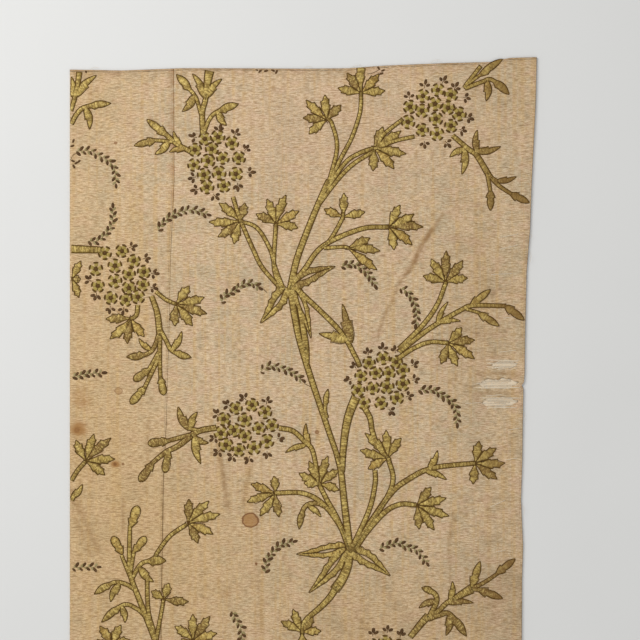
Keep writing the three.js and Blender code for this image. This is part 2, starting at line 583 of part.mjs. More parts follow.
// Named mesh of a solid; lift raises each of its points.
function meshOf(name, solid, material, lift = () => 0) {
  const result = solid.getMesh();
  const count = result.numProp;
  const positions = new Float32Array(result.numVert * 3);
  for (let i = 0; i < result.numVert; i += 1) {
    const [x, y, z] = result.vertProperties.subarray(i * count, i * count + 3);
    positions.set([x, y, z + lift(x, y)], i * 3);
  }
  const geometry = new THREE.BufferGeometry();
  geometry.setAttribute("position", new THREE.BufferAttribute(positions, 3));
  geometry.setIndex(new THREE.BufferAttribute(result.triVerts, 1));
  geometry.computeVertexNormals();
  const mesh = new THREE.Mesh(geometry, material);
  mesh.name = name;
  return mesh;
}

const group = new THREE.Group();

function addLining() {
  const left = () => LEFT_COLUMN;
  const right = (row) => along(RIGHT_EDGE, row, 1) - LINING_INSET / CELL;
  const place = clothPlace(left, right, LINING_INSET, () => ({ bottom: 0, top: LINING_THICK }));
  group.add(meshOf("lining", sheet(stations(5, 1), stations(6, 1), place), LINING_COLOUR));
}

function silkHeights(hemU, hemV) {
  return (x, y, u, v) => {
    const hem = u > hemU || v > hemV ? HEM_DROP : 0;
    const lie = relief(x, y);
    return { bottom: SILK_BASE + lie - hem, top: SILK_TOP + lie };
  };
}

// Stations of a cloth edge that is turned under, with its slope.
const turned = (count, length, lift) =>
  stations(count, length, [...lift, HEM_WIDTH + HEM_SLOPE, HEM_WIDTH]);

function addSilk() {
  const seam = (offset) => (row) => along(SEAM, row, 1) + offset / CELL;
  const rightEdge = (row) => along(RIGHT_EDGE, row, 1);
  const height = (BOTTOM_ROW - TOP_EDGE[0][1]) * CELL;
  const width = (rightEdge(MIDDLE.row) - seam(0)(MIDDLE.row)) * CELL;
  const hemV = 1 - (HEM_WIDTH + HEM_SLOPE / 2) / height;
  const hemU = 1 - (HEM_WIDTH + HEM_SLOPE / 2) / width;
  const rightPlace = clothPlace(seam(SEAM_GAP / 2), rightEdge, 0, silkHeights(hemU, hemV));
  const leftPlace = clothPlace(() => LEFT_COLUMN, seam(-SEAM_GAP / 2), 0, silkHeights(1, hemV));
  const vStations = turned(10, height, []);
  const left = sheet(stations(3, 1), vStations, leftPlace);
  let right = sheet(turned(8, width, [EDGE_LIFT_WIDTH]), vStations, rightPlace);
  for (const split of SPLITS) {
    const [from, to] = [at([split.from, split.row]), at([split.to, split.row])];
    const half = [[0.3, 0.42], [0.7, 0.5]];
    const opening = [from, ...petalOutline(from, to, split.height, half, half)];
    right = right.subtract(prism(opening, -CUT_REACH, CUT_REACH));
  }
  const ridgeWidths = [0.4, 1, 1, 1, 0.4].map((share) => share * CREASE_WIDTH);
  const ridge = strip(CREASE.map(at), ridgeWidths);
  right = right.add(prism(ridge, SILK_TOP - SILK_THICK / 2, SILK_TOP + CREASE_HEIGHT, relief));
  group.add(meshOf("silk_right", right, SILK_COLOUR));
  group.add(meshOf("silk_left", left, SILK_COLOUR));
}

// Every gold piece of one spray as flat outlines.
function sprayOutlines(spray) {
  const own = (rows) => rows.filter((row) => row[0] === spray);
  return [
    ...own(STEMS).map(([, from, to, cells]) => stemOutline(from, to, cells)),
    ...own(BLADES).map(([, stem, leaf, cells]) => bladeOutline(stem, leaf, cells)),
    ...own(LEAVES).map(([, width, base, tip, notch]) =>
      petalOutline(at(base), at(tip), width, notch > 0 ? NOTCHED : PLAIN, notch > 0 ? PLAIN : NOTCHED)),
    ...own(BROAD_LEAVES).map(([, width, base, tip]) => petalOutline(at(base), at(tip), width, BROAD, BROAD)),
    ...own(BUDS).map(([, width, base, tip]) => petalOutline(at(base), at(tip), width, BUD, BUD)),
    ...own(PALMS).flatMap(([, width, centre, tips]) =>
      tips.map((tip) => petalOutline(at(centre), at(tip), width, LOBE, LOBE))),
  ];
}

// Adds one piece of embroidery, trimmed to the cloth and lifted so that it follows it.
function addWorked(name, outlines, material) {
  const flat = joined(outlines.map(raised)).intersect(CLOTH_WINDOW);
  group.add(meshOf(name, flat, material, relief));
}

function addEmbroidery() {
  const sprays = new Set([...STEMS, ...BLADES, ...PALMS].map((row) => row[0]));
  sprays.forEach((spray) => addWorked("spray_" + spray, sprayOutlines(spray), GOLD_COLOUR));
  HEADS.forEach((head) => addWorked(head.node, headOutlines(head), FLORET_COLOUR));
  SEED_SPRIGS.forEach((cells, i) => addWorked("seeds_" + (i + 1), [seedOutline(cells)], SEED_COLOUR));
}

addLining();
addSilk();
addEmbroidery();
export default group;
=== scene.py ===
"""A lined crepe silk panel with couched gold flower branches, lying face up on a pale floor.

The pattern is laid out on a drafting grid of square cells, as a pattern drawer pricks it:
columns count to the right and rows count down. Everything is in metres, with Z up.
"""
import math

import bpy
import numpy as np
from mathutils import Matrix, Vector


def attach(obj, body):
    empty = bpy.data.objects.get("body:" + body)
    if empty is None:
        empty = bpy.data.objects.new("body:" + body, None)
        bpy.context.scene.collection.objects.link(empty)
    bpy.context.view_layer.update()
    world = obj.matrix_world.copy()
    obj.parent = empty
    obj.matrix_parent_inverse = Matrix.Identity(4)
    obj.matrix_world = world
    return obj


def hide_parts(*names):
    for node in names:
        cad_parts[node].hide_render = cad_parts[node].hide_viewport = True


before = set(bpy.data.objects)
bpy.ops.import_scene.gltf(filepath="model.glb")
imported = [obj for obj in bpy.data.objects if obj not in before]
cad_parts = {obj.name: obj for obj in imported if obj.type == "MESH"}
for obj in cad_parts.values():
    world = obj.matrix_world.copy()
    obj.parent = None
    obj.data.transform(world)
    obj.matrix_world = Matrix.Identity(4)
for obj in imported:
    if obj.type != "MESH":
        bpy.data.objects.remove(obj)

bl_info = {
    "name": "Embroidered silk panel",
    "version": (1, 0, 0),
    "blender": (4, 5, 0),
    "location": "3D View > Sidebar > Panel",
    "description": "Builds the cloths, the gold work, the flower heads and the stage of a silk panel",
    "category": "Object",
}

CELL = 0.00145  # side of one drafting cell
MIDDLE_COLUMN = 303.35
MIDDLE_ROW = 353.5
LEFT_COLUMN = 70
TOP_ROW = 65  # middling row of the top edge
BOTTOM_ROW = 650

# Heights of the layers over the floor, and the cloth's lie.
LINING_TOP = 0.0010
SILK_BASE = 0.0013
SILK_TOP = 0.0023
SWELL = 0.00022  # half height of each of the two long swells
WAVES = [(0.048, 0.130), (-0.090, 0.062)]  # metres per radian to the right and upwards
EDGE_LIFT = 0.0008  # how far the worn right edge stands up off the lining
EDGE_LIFT_WIDTH = 0.050
LINING_INSET = 0.006
HEM_WIDTH = 0.0026
HEM_DROP = 0.0009
SEAM_GAP = 0.00003
ROUNDED_WIDTH = 0.0016  # how far in the silk is rounded down at an edge
TURNED_DROP, SEAM_DROP = 0.0004, 0.00008  # and how deep, at a turned edge and at the seam

# Grids of the cloths, with finer steps in metres beside the silk's turned edges and its seam.
LINING_COLUMNS, LINING_ROWS = 56, 72
SILK_RIGHT_COLUMNS, SILK_LEFT_COLUMNS, SILK_ROWS = 140, 42, 318
EDGE_STEPS = (0.0004, 0.0009, 0.0016, 0.0030)
LATTICE, LATTICE_SHIFT = 512, 900  # steps of a noise's lattice before it repeats, and off the panel
CURVE_SAMPLES = 24  # for each leg of a curve

# The crepe weave's wrinkles: share of their height, pitch along and across the weft, seed.
CREPE_BEND = (0.0022, 0.022, 0.030, 5)  # metres that the wrinkles wave by, instead of a share
CREPE_COARSE = (0.6, 0.016, 0.0050, 7)
CREPE_FINE = (0.4, 0.009, 0.0043, 8)
CREPE_PUCKER = (1.0, 0.018, 0.013, 9)

# Boundary lines of the cloth in cells.
TOP_EDGE = [
    (70, 69.6), (120, 70.5), (175, 68.3), (200, 68.3), (300, 68.7), (340, 68.3), (376, 65.6), (429, 63.4),
    (480, 62), (498, 58), (536.5, 57),
]
RIGHT_EDGE = [
    (536.7, 57), (535.7, 101), (533.7, 142), (531.6, 183), (530, 230), (526.6, 272), (525, 340),
    (524.6, 372), (524, 382), (521.6, 385.5), (523.4, 388.5), (522.8, 416), (522.3, 460), (521, 500),
    (523, 545), (522, 580), (521.6, 650),
]
SEAM = [
    (174, 57), (174.5, 180), (170.7, 262), (169.5, 323), (166.6, 422), (163.5, 480), (162, 572), (161, 650),
]
LEFT_EDGE = [(LEFT_COLUMN, 0), (LEFT_COLUMN, BOTTOM_ROW)]

# The gold work of each spray, in cells. Stems: first and last width, and the path.
STEMS = {
    "upper": [
        (6.5, 5.5, [(290, 290), (297, 259), (310, 224), (323, 193), (329, 180)]),
        (4, 3.6, [(329, 182), (337, 148), (332, 124), (327, 118)]),
        (4, 3.6, [(329, 184), (340, 160), (352, 137), (360, 112), (361, 92)]),
        (4, 4, [(326, 190), (345, 163), (360, 153), (374, 148)]),
        (4, 4, [(320, 203), (335, 183), (352, 165), (374, 151)]),
        (4, 3.6, [(378, 146), (383, 135), (403, 119)]), (4, 3.6, [(374, 149), (395, 141), (414.5, 136.5)]),
        (4, 3.6, [(283, 288), (275, 267), (270, 249), (257, 228), (240, 221)]),
        (4, 4, [(233, 197), (240, 219), (253, 249), (262, 267), (280, 288)]),
        (4, 4, [(281, 288), (274, 267), (276, 224)]),
        (5, 4.5, [(290, 287), (304, 270), (323, 246), (361, 229), (389, 227)]),
        (4, 3.6, [(320, 248), (330, 240), (342, 219), (343, 212)]),
        (3.6, 3.2, [(324, 248), (345, 247), (349, 249)]),
        (5, 4.5, [(293, 286), (306.5, 298), (340, 331), (355, 356), (360, 367)]),
    ],
    "lower": [
        (6.5, 5, [(290, 287), (292, 300), (295, 318), (299, 338), (308, 369), (325, 420), (340, 464)]),
        (5.5, 7.5, [(337, 455), (341, 472), (344, 500), (350, 552)]),
        (3.6, 8, [(299, 308), (302, 322), (304.5, 338), (305.5, 351)]),
        (8, 3.2, [(305, 347), (306.5, 356), (307.5, 367)]),
        (9, 5.5, [(356, 397), (349.5, 413), (345.5, 430), (343, 452), (342, 472)]),
        (5, 4, [(279, 428), (293, 431), (305, 442), (313, 452), (319, 486)]),
        (4.5, 5, [(319, 484), (327, 500), (338, 520), (348, 546)]),
        (4.5, 5, [(275, 493), (302, 493), (322, 503), (340, 526), (349, 548)]),
        (5.5, 4, [(364, 407), (370, 418), (372.5, 432), (379, 448), (388, 458)]),
        (4.5, 5, [(388, 458), (393, 478), (387, 497), (366, 530), (352, 550)]),
        (4.5, 5, [(375, 470), (375, 484), (369, 510), (352, 548)]),
        (4.5, 6, [(475, 463), (432, 468), (407, 480), (391, 493), (372, 520), (354, 548)]),
        (4.5, 6, [(416, 505), (401, 504), (386, 511), (368, 530), (354, 550)]),
        (7.5, 10, [(350, 551), (347.5, 566), (342, 579), (334.5, 590)]),
        (7, 4, [(337, 586), (330, 597), (320, 607.5), (305, 621), (302, 634)]),
    ],
    "right": [
        (4, 5, [(446, 282), (437, 305), (422, 326), (399, 349)]),
        (5, 4, [(399, 352), (418, 337), (435, 325), (461, 310), (473, 305.5), (506, 306)]),
        (4, 4.5, [(448, 343), (430, 342), (414, 348), (397, 359)]), (3, 3, [(466, 309), (480, 313)]),
    ],
    "topright": [(3.6, 3.6, [(465, 86), (480.8, 66)])],
    "sidebuds": [
        (4.4, 6, [(452.5, 135.5), (468, 149), (476.4, 155.2), (488.5, 175)]),
        (4.2, 3.4, [(487, 172), (490.4, 192)]), (4.4, 3.4, [(487, 172), (497.4, 184.5), (512, 194.7)]),
        (3.2, 3.2, [(490, 177), (498, 181.3)]),
    ],
    "cornerleft": [(4, 5.5, [(71, 111), (74.5, 99), (77.5, 86), (79.5, 72)])],
    "seamtop": [
        (5, 5, [(190.5, 151.5), (180, 146), (173, 141), (165, 133.5)]),
        (3.6, 3.4, [(175, 142), (154, 140.2)]),
    ],
    "top": [
        (5.5, 5, [(203, 134), (202.3, 113), (205, 102), (206.5, 94)]),
        (3.6, 3.6, [(201.5, 116), (197, 100), (193.7, 94)]),
        (4.5, 9, [(205.5, 100), (207, 86), (209.5, 71)]),
    ],
    "middleleft": [
        (5, 6.5, [(151.5, 296), (157.3, 313.2), (160, 336)]),
        (4.4, 3.6, [(160, 333), (159.8, 359.6), (160.6, 379)]),
        (4.2, 3.8, [(160, 355), (154, 368), (144, 389)]), (4, 3.6, [(159, 352), (148.2, 371)]),
    ],
    "leafc": [(4, 3.6, [(156, 291.5), (166.4, 299.9), (176, 304)])],
    "leafd": [(4.4, 4, [(137.8, 305), (136.6, 314.8), (131, 319)])],
    "lowleft": [
        (5.5, 6, [(216.5, 427.5), (199.4, 430.8), (190.3, 436)]), (4, 4, [(200, 431), (188, 428)]),
        (4.4, 4, [(193, 434), (167, 441)]), (6, 4, [(192, 435), (177.6, 446.2), (165.7, 452), (151, 464)]),
    ],
    "foot": [
        (3.6, 6.5, [(130, 525), (129.4, 554.2), (130.3, 574.5), (140.5, 602.3), (155.5, 640), (158, 650)]),
        (3.4, 4, [(121.5, 555), (130, 576)]), (3.4, 4, [(134, 551), (130.5, 572)]),
        (4, 4, [(187, 524), (170.1, 535.7), (158, 551.5), (155.5, 556.5)]),
        (4, 4, [(147.5, 576.5), (147.3, 590), (148.8, 613.4), (155, 634)]),
        (3.4, 4, [(163.6, 600), (156.2, 640)]),
    ],
    "base": [
        (5.5, 7.5, [(410, 637), (420.7, 623.8), (428.2, 615.5)]),
        (4.6, 4.8, [(427, 617), (438, 611), (446.4, 603), (455, 598)]),
        (4.8, 9.5, [(453, 599.2), (461, 594.5), (472, 588.5)]),
        (4, 3.2, [(473, 588), (485.4, 581.5), (498, 573)]), (3.6, 3.6, [(471, 589), (480, 590)]),
    ],
    "edge": [(8, 6, [(71.5, 249), (101.5, 250)])],
    "leafn": [(4.4, 4, [(71.5, 480.5), (78, 470), (86, 461)])],
    "leafs": [(5, 4, [(71.5, 500), (75, 494)])],
}

# Stems that end in a leaf: width of the stem and of the leaf, and the path.
BLADES = {
    "lower": [
        (4.4, 7, [(330, 509), (316, 503), (304, 508), (299, 529)]),
        (3.6, 6, [(327, 418), (325, 408), (328, 389)]),
    ],
    "topright": [
        (4, 9, [(465, 88.5), (482.6, 81.7), (492, 80), (509, 94.5)]),
        (3, 8, [(463.5, 87.5), (476, 78), (503, 58.5)]),
    ],
    "cornerlow": [(4.5, 8, [(71.5, 124), (77, 114), (86, 107), (111, 103.4)])],
    "top": [
        (3.6, 9, [(196, 98), (192, 92), (176.5, 74.6)]),
        (4, 9, [(203.5, 134), (209, 120), (217, 112), (238.5, 104)]),
    ],
    "middleleft": [
        (4.2, 8, [(160, 329), (166.4, 341), (173, 351.3), (191.3, 357.5)]),
        (4.2, 8.5, [(159, 333), (154.8, 346), (147, 354), (126.6, 357)]),
    ],
    "foot": [
        (4, 10.5, [(132, 579), (138.5, 567), (146, 561.5), (166, 560.5)]),
        (4, 8, [(134, 589), (125.7, 584), (113.5, 582.5), (94.3, 594)]),
        (4, 8, [(147, 618), (136.8, 608.6), (123, 605), (101.7, 622)]),
    ],
    "base": [
        (5, 7.5, [(430, 615), (436.5, 601.4), (434, 593), (421.6, 587.4)]),
        (5, 9, [(428, 619), (439.8, 614.7), (450, 614.4), (466.3, 636)]),
    ],
}

# Leaves: width, base, tip, and the side that the notch is on (a key of LEAF_KINDS).
LEAVES = {
    "upper": [(11, (351, 343), (342.5, 304), 2), (11.5, (348, 340), (319, 333.5), 2)],
    "topright": [(8, (487.5, 81), (486, 101), -1)],
    "sidebuds": [
        (7, (476.4, 153), (477.3, 130), -1), (7.5, (474, 152), (500.5, 146.6), 1),
        (7, (465.5, 148), (449.6, 157.2), 1), (8, (465, 148), (461.7, 174.5), -1),
        (6, (496, 181.5), (516, 176.8), 1),
    ],
    "cornerleft": [(8.5, (75, 97), (96.4, 75.6), -1), (6, (72.5, 97), (71.5, 77), 1)],
    "cornerlow": [(8, (86, 107), (89.6, 129.3), -1)],
    "seamtop": [
        (8, (170, 141.5), (155, 154.3), -1), (6, (181, 147), (173.6, 131.4), -1),
        (6.5, (185, 148.5), (169.6, 152), 1),
    ],
    "top": [
        (8.5, (195.5, 95), (182.5, 111.5), -1), (8, (205, 98), (192.6, 74), 1),
        (8, (205.5, 98), (221.8, 79.2), -1), (8, (217, 112), (226.5, 125.5), 1),
    ],
    "middleleft": [(7, (172, 351), (181.8, 331.4), 1), (6, (151, 350.5), (139, 338.6), -1)],
    "lowleft": [
        (9, (189, 430), (178.3, 406.8), -1), (8, (189, 429.5), (197.4, 412), -1),
        (9, (194.5, 434), (200.8, 463.6), 1), (6.5, (194, 438), (208.5, 442.9), 1),
    ],
    "right": [(5.5, (436.5, 325), (448, 301.8), -1), (5.5, (438, 322.5), (460.4, 321), -1)],
    "foot": [
        (8.5, (139, 567.5), (153.5, 581.7), 1), (8, (119.5, 583), (110.7, 601.6), 1),
        (7, (122, 606), (125, 622.4), -1),
    ],
    "base": [
        (7, (436.5, 600), (419, 607.8), 1), (6.5, (450, 601), (452.3, 581.3), 1),
        (6.5, (447, 603), (473.2, 602.7), -1), (8, (450, 614), (446, 635.2), -1),
    ],
    "leafs": [(7, (72, 498), (82.5, 484.5), 1)],
    "lower": [
        (6, (308, 505), (321, 517), -1), (6.5, (309, 447), (306, 423.5), -1),
        (6, (306.5, 444.5), (285.5, 452.5), 1), (7, (428.5, 470), (437.4, 450.5), 1),
        (6.5, (425, 470.5), (446.4, 479.5), -1),
    ],
}

# Broad leaves with a bare slit, and buds: width, base, tip.
BROAD_LEAVES = {
    "upper": [(17.5, (286, 287), (260.5, 323)), (17, (293, 284), (335, 266.5))],
    "lower": [
        (13, (294, 286), (311, 338)), (14.5, (345, 547), (296.5, 554)), (17, (346, 549), (309, 592.5)),
        (17, (353, 550.5), (390, 575.5)),
    ],
}
BUDS = {
    "sidebuds": [(8, (490.4, 190), (490.4, 210.5)), (8, (510, 193.5), (529, 202.8))],
    "right": [
        (8, (470, 306), (490.4, 289.6)), (8, (478, 312.5), (499, 326)), (8.5, (504.5, 305.5), (524, 320)),
    ],
    "seamtop": [(8.5, (167, 135.5), (147, 119.6)), (8, (156, 140), (134.4, 145.7))],
    "middleleft": [
        (8, (160.5, 376.5), (164, 395)), (8.5, (146, 386), (130.6, 403.8)),
        (8.5, (150, 368.5), (133.8, 380.6)),
    ],
    "lowleft": [
        (9, (169, 440.7), (148, 443.5)), (9, (153.5, 462), (139.4, 481.5)),
        (8.5, (169, 449.5), (164.8, 472.7)),
    ],
    "foot": [
        (10, (130.5, 527), (138, 505.8)), (9, (122.5, 554), (112.4, 536.5)),
        (8.5, (133.5, 552), (146, 536.8)),
    ],
    "base": [
        (8.5, (471.5, 587), (480, 561.4)), (8, (496, 574), (515, 558.8)),
        (8.5, (477.5, 589), (502.4, 598.3)),
    ],
}

# Palmate leaves: width of a lobe, middle, and the tips of the lobes.
PALMS = {
    "upper": [
        (9.5, (327, 120), [(303, 118), (306, 100), (325, 95), (341, 105), (309, 134)]),
        (9.5, (361, 93), [(361.5, 60.5), (347, 73), (338, 88), (379, 74), (385, 91)]),
        (10, (374, 148), [(383, 127), (406, 154), (394, 169), (373, 171), (401, 131)]),
        (9.5, (240, 221), [(219, 203), (209, 222), (218, 237), (234, 244), (245, 203)]),
        (9.5, (276, 224), [(256, 214), (267, 199), (286, 195), (299, 211), (298, 228)]),
        (9, (343, 217), [(324, 209), (344, 193), (365, 212)]),
        (9.5, (389, 227), [(400, 205), (414, 214), (423, 227), (412, 245), (394, 250)]),
        (9.5, (348, 248), [(370, 238), (380, 251), (377, 270)]),
    ],
    "right": [
        (9.5, (445.5, 282), [(446.3, 250.8), (431, 259), (462.8, 260.5), (423, 276), (467.5, 278)]),
        (9.5, (448, 343), [(461.7, 327.5), (474.5, 340), (474.5, 359), (457.4, 366), (441, 363.8)]),
    ],
    "leafc": [(10, (176.4, 304), [(189.4, 286), (204.3, 297.3), (207, 313.8), (192.4, 326), (175, 326)])],
    "leafd": [(9.5, (131, 318.5), [(106, 319), (110, 339), (127.4, 343.6), (144.2, 336.6)])],
    "leafn": [(9.5, (86, 461), [(76, 440), (94, 434), (111, 438), (115, 459), (105, 475)])],
    "lower": [
        (9, (320, 484), [(309, 461), (328, 456), (299, 473), (339, 470), (304, 483), (339, 490)]),
        (9, (275, 493), [(251, 484), (247, 502), (260, 516), (279, 517), (274, 476)]),
        (9.5, (388, 458), [(365, 433), (386, 430), (401, 438), (360, 450), (368, 469)]),
        (9.5, (475, 463), [(479, 441), (496, 448), (505, 463), (497, 479), (473, 484)]),
        (9.5, (417, 505), [(431, 487), (446, 498), (449, 516), (434, 530), (419, 529)]),
        (9, (302, 632), [(293, 609), (281, 621), (313, 617), (321, 631), (303, 649)]),
    ],
    "foot": [
        (9.5, (188, 523), [(189, 499), (209, 501), (220, 514), (213, 534), (198, 543)]),
        (9, (164, 599), [(151.5, 591), (169, 583), (188.5, 601.5)]),
    ],
    "leafu": [(9.5, (193, 640), [(175, 626), (193, 614), (210, 616), (217, 633), (176, 646)])],
    "leafw": [(9.5, (112, 645), [(100, 626), (121, 625), (130, 640), (92, 643)])],
    "leafe": [(8, (72, 279), [(81, 261), (80.5, 279), (79, 297.5)])],
}

# Flower heads: cells of the florets, and of the sprigs round the rim.
HEADS = [
    (
        [(218, 137), (232, 143), (205, 139), (195, 150), (212, 149), (223, 158), (239, 158), (208, 161),
         (194, 165), (219, 173), (236, 174), (204, 175), (207, 187), (224, 186)],
        [(219.5, 128), (236, 132), (247, 148), (251, 172), (192, 178), (193, 137), (195, 190),
         (216, 197), (238, 187)],
    ),
    (
        [(410, 107), (423, 96), (438, 90), (451, 95), (435, 104), (448, 108), (459, 114), (422, 111),
         (436, 119), (408, 122), (451, 126), (422, 130), (437, 134)],
        [(409, 95), (425, 84), (444, 80), (456, 86), (467, 98), (470, 119), (463, 131), (448, 144),
         (425, 145)],
    ),
    (
        [(105, 253), (122, 251), (134, 261), (96, 269), (115, 266), (129, 274), (144, 272), (98, 286),
         (115, 281), (129, 288), (143, 285), (111, 298), (126, 300), (138, 297)],
        [(133, 246), (147, 258), (155, 274), (154, 288), (123, 311), (110, 310), (96, 297), (88, 279)],
    ),
    (
        [(252, 405), (236, 408), (265, 412), (224, 419), (245, 420), (259, 428), (272, 425), (234, 430),
         (221, 433), (245, 436), (226, 445), (254, 448), (267, 441), (239, 450)],
        [(243, 397), (226, 404), (267, 400), (216, 413), (213, 439), (217, 453), (231, 458), (248, 460),
         (267, 455), (281, 438)],
    ),
    (
        [(369, 363), (383, 358), (396, 362), (361, 376), (376, 373), (389, 373), (403, 370), (358, 390),
         (373, 388), (387, 387), (403, 384), (364, 403), (381, 403), (397, 398)],
        [(368, 351), (383, 347), (395, 349), (354, 365), (348, 380), (415, 364), (416, 379), (410, 396),
         (392, 412)],
    ),
    (
        [(385, 642), (372, 645), (398, 646)],
        [(373, 632), (388, 629), (401, 633)],
    ),
]

# Stalks with dark seeds.
SEED_SPRIGS = [
    [(76, 151.5), (90, 151), (100, 156), (110, 162), (115, 170), (116, 183)],
    [(158, 231), (162, 224), (170, 217), (180, 212), (193, 210), (206, 214)],
    [(88, 241), (97, 241), (105, 235), (111, 227), (113, 219), (113, 209)],
    [(221, 303), (226, 295), (235, 290), (242, 285), (251, 283), (258, 287)],
    [(341, 267), (351, 264), (361, 268), (369, 275), (374, 284)],
    [(400, 288.5), (405.5, 290.5), (410, 295), (414, 302), (417, 313), (416, 323)],
    [(72, 377), (86, 374), (101, 373)], [(260, 372), (269, 366), (280, 368), (289, 371), (301, 379)],
    [(418, 390), (433, 390), (442, 395), (451, 401), (456, 409), (457, 422)],
    [(72, 568), (84, 567), (96, 567)], [(265, 573), (267, 561), (273, 552), (281, 545), (292, 542)],
    [(379, 549), (388, 545), (398, 543), (407, 547), (418, 551), (426, 562)],
    [(232, 611), (236, 619), (241, 628), (242, 640)],
]

# Small dark tips whose flowers the top edge or the left cut takes off: column, row, direction in degrees.
CUT_TIPS = [
    (256.5, 69.5, 130), (260, 71.5, 40), (266, 71, 20), (273, 70.5, 150), (276.5, 72, 60), (378.5, 68, 120),
    (383, 70.5, 200), (381.5, 73.5, 20), (86, 71, 100), (73.5, 141, 70), (72.5, 146, 20), (73, 161, 160),
    (76.5, 163, 210), (79, 161.5, 40), (74, 166.5, 120),
]
# Thin dark stalks: the first two beside such tips, the others from a seed sprig on to a gold stem.
CUT_STALKS = [
    [(367.5, 74), (373, 72.8), (380, 69.5)], [(70.5, 160), (74, 154.5), (80, 153)],
    [(300, 378), (305, 383.5), (311, 387)], [(256.5, 286), (262, 288), (267, 292.5)],
]

# Openings along the weft near the right edge: first column, last column, row, height in cells.
SPLITS = [
    (491, 518, 364.8, 8), (478, 518.5, 384, 9), (482, 517.5, 402.5, 9),
]

# Creases pressed into the cloth: height, width in metres, brown stain from 0 to 1, cells.
CREASES = [
    (0.0005, 0.0034, 1.0, [(432, 230), (424, 241), (418, 252), (415, 262), (408, 272)]),
    (0.0003, 0.0028, 0.68, [(442, 215), (418, 252), (400, 283), (394, 296), (385, 314), (377, 337)]),
    (0.0002, 0.0024, 0.3, [(441, 216), (455, 210), (470, 208)]),
    (0.0003, 0.003, 0.35, [(266, 330), (263, 395), (262, 470)]),
    (-0.0003, 0.0034, 0.3, [(232, 400), (229, 480), (230, 600)]),
    (0.0003, 0.003, 0.45, [(256, 500), (257, 560), (262, 640)]),
    (0.0003, 0.0028, 0.55, [(453, 512), (449, 545), (450, 580)]),
    (0.0002, 0.0028, 0.25, [(395, 565), (390, 600)]),
    (-0.0002, 0.004, 0.15, [(448, 170), (450, 215), (447, 260)]),
    (0.0002, 0.0036, 0.7, [(219, 450), (224, 480), (228, 508)]),
    (0.0002, 0.003, 0.6, [(252, 462), (246, 485), (243, 505)]),
    (0.0001, 0.0026, 0.5, [(148.5, 420), (147.5, 458)]), (0.0001, 0.0024, 0.65, [(123.5, 498), (123, 532)]),
    (0.0002, 0.005, 0.6, [(71, 492), (86, 522), (98, 550)]), (0.0002, 0.004, 0.5, [(76, 520), (90, 552)]),
    (0.0003, 0.003, 0.55, [(478, 374.5), (500, 373), (520, 375)]),
    (0.0003, 0.003, 0.5, [(472, 393.5), (498, 392.5), (520, 394)]),
    (-0.0001, 0.003, 0.35, [(494, 350), (494.5, 372)]),
    (-0.0003, 0.0028, 0.4, [(476, 500), (500, 497.5), (522, 500)]),
    (-0.0002, 0.0026, 0.25, [(470, 484), (500, 488), (522, 486)]),
    (0.0005, 0.0026, 0.0, [(455, 488), (466, 494), (479, 498)]),
    (0.0005, 0.0024, 0.0, [(484, 503), (494, 506), (505, 504)]),
    (0.0004, 0.0024, 0.0, [(498, 443), (508, 439), (519, 435)]),
    (0.0004, 0.0024, 0.0, [(498, 462), (518, 467)]),
]

# Wide, soft changes of the silk's colour: column, row, reach right, reach down, yellow, dark.
TONES = [
    (70, 330, 120, 330, 0.75, 0.05), (150, 560, 150, 130, 0.65, 0.1), (420, 620, 160, 90, 0.35, 0.1),
    (330, 130, 190, 90, -0.55, -0.05), (300, 340, 120, 110, -0.25, -0.2), (480, 330, 60, 150, 0.1, 0.35),
    (500, 560, 60, 120, -0.3, 0.05), (360, 640, 80, 60, 0.1, 0.2), (505, 600, 55, 80, 0.05, 0.28),
    (110, 100, 60, 50, 0.25, 0.1), (495, 95, 70, 60, 0.05, 0.2),
]

# Soft stains: column, row, reach right, reach down, strength.
STAINS = [
    (82, 398, 12, 13, 0.55), (77, 430, 9, 8, 1.1), (115.5, 464, 4.5, 3, 1.5), (224, 592, 8, 9, 0.45),
    (214, 590, 6, 4, 0.4), (273, 84, 3, 12, 0.4), (190, 437, 9, 4, 0.3), (92, 470, 20, 12, 0.25),
    (205, 640, 18, 8, 0.25), (448, 200, 3, 40, 0.18), (264, 400, 3, 70, 0.25), (256, 600, 4, 40, 0.35),
    (395, 585, 4, 20, 0.22), (440, 150, 26, 10, 0.16), (152, 150, 16, 5, 0.2), (380, 75, 30, 4, 0.25),
    (470, 70, 60, 6, 0.22),
]

# Small sharp spots: column, row, radius and width of the dark rim in cells, strength.
SPOTS = [
    (250.4, 520.2, 8.6, 1.8, 1.0), (256, 563.7, 1.6, 1.6, 1.0), (317, 432, 2.2, 2.2, 0.75),
    (116, 143, 1.8, 1.8, 0.7), (115, 464, 1.8, 1.8, 0.8), (123, 464, 1.6, 1.6, 0.8),
    (118.7, 391, 4.2, 1.2, 0.5), (77, 430, 3.2, 3.2, 0.4), (188, 436, 2.0, 2.0, 0.4),
]

# Pale weft threads that lie bare where the silk has worn: first and last cell.
BARE_WEFT = [
    [(465, 403.5), (481, 402.5)], [(498, 238), (518, 234)], [(500, 249), (518, 245)],
    [(491, 274.5), (512, 273.5)], [(490, 507), (505, 500)], [(496, 551.5), (505, 550.5)],
    [(474, 384), (486, 383)], [(500, 352), (516, 350)], [(486, 396), (502, 394.5)],
    [(497, 362), (518, 361.5)], [(499, 366.5), (517, 366)], [(481, 381), (510, 380)],
    [(483, 385.5), (519, 385)], [(486, 401), (515, 400.5)], [(488, 405.5), (513, 405)],
    [(508, 430), (519, 428)], [(503, 318), (515, 317)], [(505, 460), (517, 458)],
]

